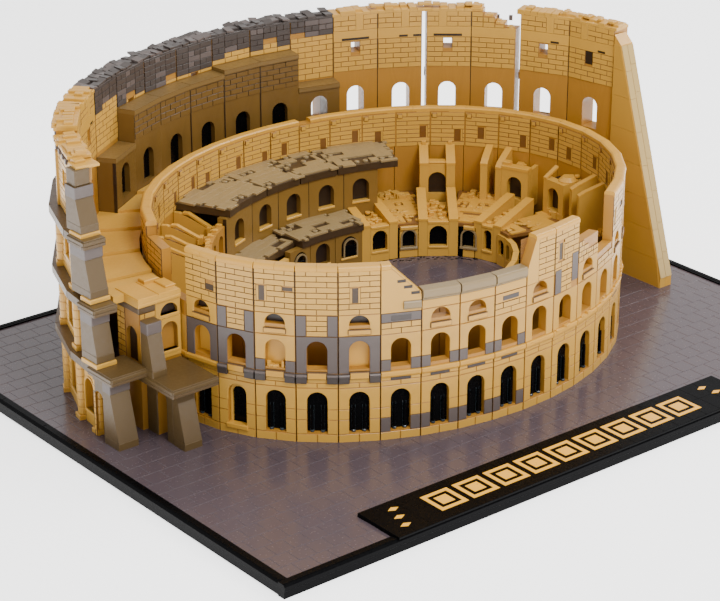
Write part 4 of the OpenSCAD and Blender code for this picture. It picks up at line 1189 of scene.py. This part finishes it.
# ---- Base ----
def base():
    tiles = Piece("floor_tiling", "floor", FLOOR_TILE, FLOOR_TILE)
    bars = Piece("frame_tiles", "frame", FRAME_BLACK)
    plate = Piece("nameplate_tiles", "frame", FRAME_BLACK)
    lo, hi = (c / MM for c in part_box("floor_tiles"))
    columns, rows = 39, 31
    dx, dy = (hi.x - lo.x) / columns, (hi.y - lo.y) / rows
    for j in range(rows):
        shift = 0.5 if j % 2 else 0.0
        y = (lo.y + dy * j + 0.1, lo.y + dy * (j + 1) - 0.1)
        for i in range(columns + (1 if shift else 0)):
            x0 = max(lo.x, lo.x + dx * (i - shift))
            x1 = min(hi.x, lo.x + dx * (i + 1 - shift))
            tile(tiles, BASE, (x0 + 0.07, x1 - 0.07), y, (9.4, 9.9), 0.22)
    arena = [p + Vector((0, BOWL_Y)) for p in (inset(6 * n, ARENA_D + 0.8) for n in range(60))]
    tiled(tiles, tiles, BASE, arena, (-160, 160), (-96, 128), ARENA_Z - 0.1, 0.0, 0.35, 16.0, (1, 2, 3))
    cracks = Piece("arena_cracks", "inner_black", BLACK)
    for n in range(70):
        t = 20 + 1.6 * n + random.uniform(-0.5, 0.5)
        at = bowl_place(t, ARENA_D + random.uniform(1.5, 7)).turned(0, 0, random.uniform(-40, 40))
        x, y = (0, random.uniform(1.5, 4.5)), (0, random.uniform(0.8, 1.4))
        tile(cracks, at, x, y, (ARENA_Z, ARENA_Z + 0.45), 0.05)
    cracks.make()
    for name, along in (("frame_front", 0), ("frame_back", 0), ("frame_left", 1), ("frame_right", 1)):
        low, high = (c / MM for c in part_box(name))
        inset_x, inset_y = (0.4, 2.0) if along == 0 else (2.0, 0.4)
        count = round((high[along] - low[along]) / 64)
        for n in range(count):
            a = low[along] + (high[along] - low[along]) * n / count
            b = low[along] + (high[along] - low[along]) * (n + 1) / count
            x = (a + 0.12, b - 0.12) if along == 0 else (low.x + inset_x, high.x - inset_x)
            y = (a + 0.12, b - 0.12) if along == 1 else (low.y + inset_y, high.y - inset_y)
            tile(bars, BASE, x, y, (high.z - 0.1, high.z + 0.4), 0.25)
    low, high = (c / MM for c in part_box("nameplate"))
    for n in range(23):
        a = low.x + (high.x - low.x) * n / 23.5
        b = low.x + (high.x - low.x) * (n + 1) / 23.5 if n < 22 else high.x
        for y in ((low.y + 0.1, low.y + 24), (low.y + 24.1, high.y - 0.1)):
            tile(plate, BASE, (a + 0.06, b - 0.06), y, (high.z - 0.2, high.z + 0.18), 0.12)
    make_all(tiles, bars, plate)


base()
ring_panels()
ring_top()
ring_inside()
make_all(masonry, smooth, stone)
sills.make("ring_ledge")
slates.make()
brackets.make("ring_brackets")
make_all(coping, dark)
seating()
towers()
outer_inside()
crest()
outer_outside()
gallery()
west()
buttress()


# ---- Materials of the CAD nodes that stay in view ----
SLOT_MATERIALS = {"base": BLACK, "floor": FLOOR_GAP_HIGHLIGHT, "frame": FRAME_BLACK, "ornament": GOLD,
                  "inner_black": BLACK, "tan_brick": DEEP, "light_tile": LIGHT, "dark_tan": DARK_TAN,
                  "greige": GREIGE, "slate": SLATE}
NODE_MATERIALS = {"upper_terrace": PLATE_AND_SHADE_BROWN, "lower_terrace": PLATE_AND_SHADE_BROWN, "rubble_slabs": SOFT_JOINT,
                  "outer_cornices": CORNICE, "gallery_roof": ROOF, "side_fins": TAN, "walkway_slabs": TAN,
                  "towers_upper": TAN, "towers_lower": TAN, "arena_wall": TAN, "buttress_inner": TAN,
                  "buttress_outer": LIGHT, "upper_arcade": ARCADE, "lower_arcade": ARCADE}
for entry in frame["record"]["subparts"]:
    mesh = frame["nodes"][entry["node"]].data
    mesh.materials.clear()
    mesh.materials.append(NODE_MATERIALS.get(entry["node"], SLOT_MATERIALS[entry["material_slot"]]))


# ---- Floor, light and camera ----
def studio():
    mesh = bpy.data.meshes.new("studio_floor")
    corners = [(8.0 * x, 8.0 * y, 0) for x, y in ((-1, -1), (1, -1), (1, 1), (-1, 1))]
    mesh.from_pydata(corners, [], [(0, 1, 2, 3)])
    ground = bpy.data.objects.new("studio_floor", mesh)
    bpy.context.scene.collection.objects.link(ground)
    paper = bpy.data.materials.new("pale_paper")
    paper.use_nodes = True
    shader = paper.node_tree.nodes["Principled BSDF"]
    shader.inputs["Base Color"].default_value = (0.95, 0.95, 0.95, 1)
    shader.inputs["Roughness"].default_value = 0.9
    shader.inputs["Emission Color"].default_value = (1, 1, 1, 1)
    shader.inputs["Emission Strength"].default_value = 1.6
    mesh.materials.append(paper)
    world = bpy.data.worlds.new("studio")
    world.use_nodes = True
    world.node_tree.nodes["Background"].inputs["Color"].default_value = (1.0, 1.0, 1.0, 1)
    world.node_tree.nodes["Background"].inputs["Strength"].default_value = 1.1
    bpy.context.scene.world = world
    lights = (("key_light", (-0.3, -1.8, 2.2), 0.9, 66), ("side_light", (1.9, -0.4, 1.8), 1.0, 34))
    for name, place, size, watts in lights:
        light = bpy.data.lights.new(name, "AREA")
        light.energy = watts
        light.size = size
        lamp = bpy.data.objects.new(name, light)
        lamp.location = place
        lamp.rotation_euler = (Vector((0, 0, 0.08)) - Vector(place)).to_track_quat("-Z", "Y").to_euler()
        bpy.context.scene.collection.objects.link(lamp)
    camera = bpy.data.cameras.new("camera")
    camera.lens = 118.6
    camera.sensor_width = 36
    camera.clip_end = 50
    eye = bpy.data.objects.new("camera", camera)
    eye.location = (-1.1828, -1.4029, 0.8492)
    eye.rotation_euler = Vector((0.57798, 0.71262, -0.39763)).to_track_quat("-Z", "Y").to_euler()
    bpy.context.scene.collection.objects.link(eye)
    bpy.context.scene.camera = eye


studio()
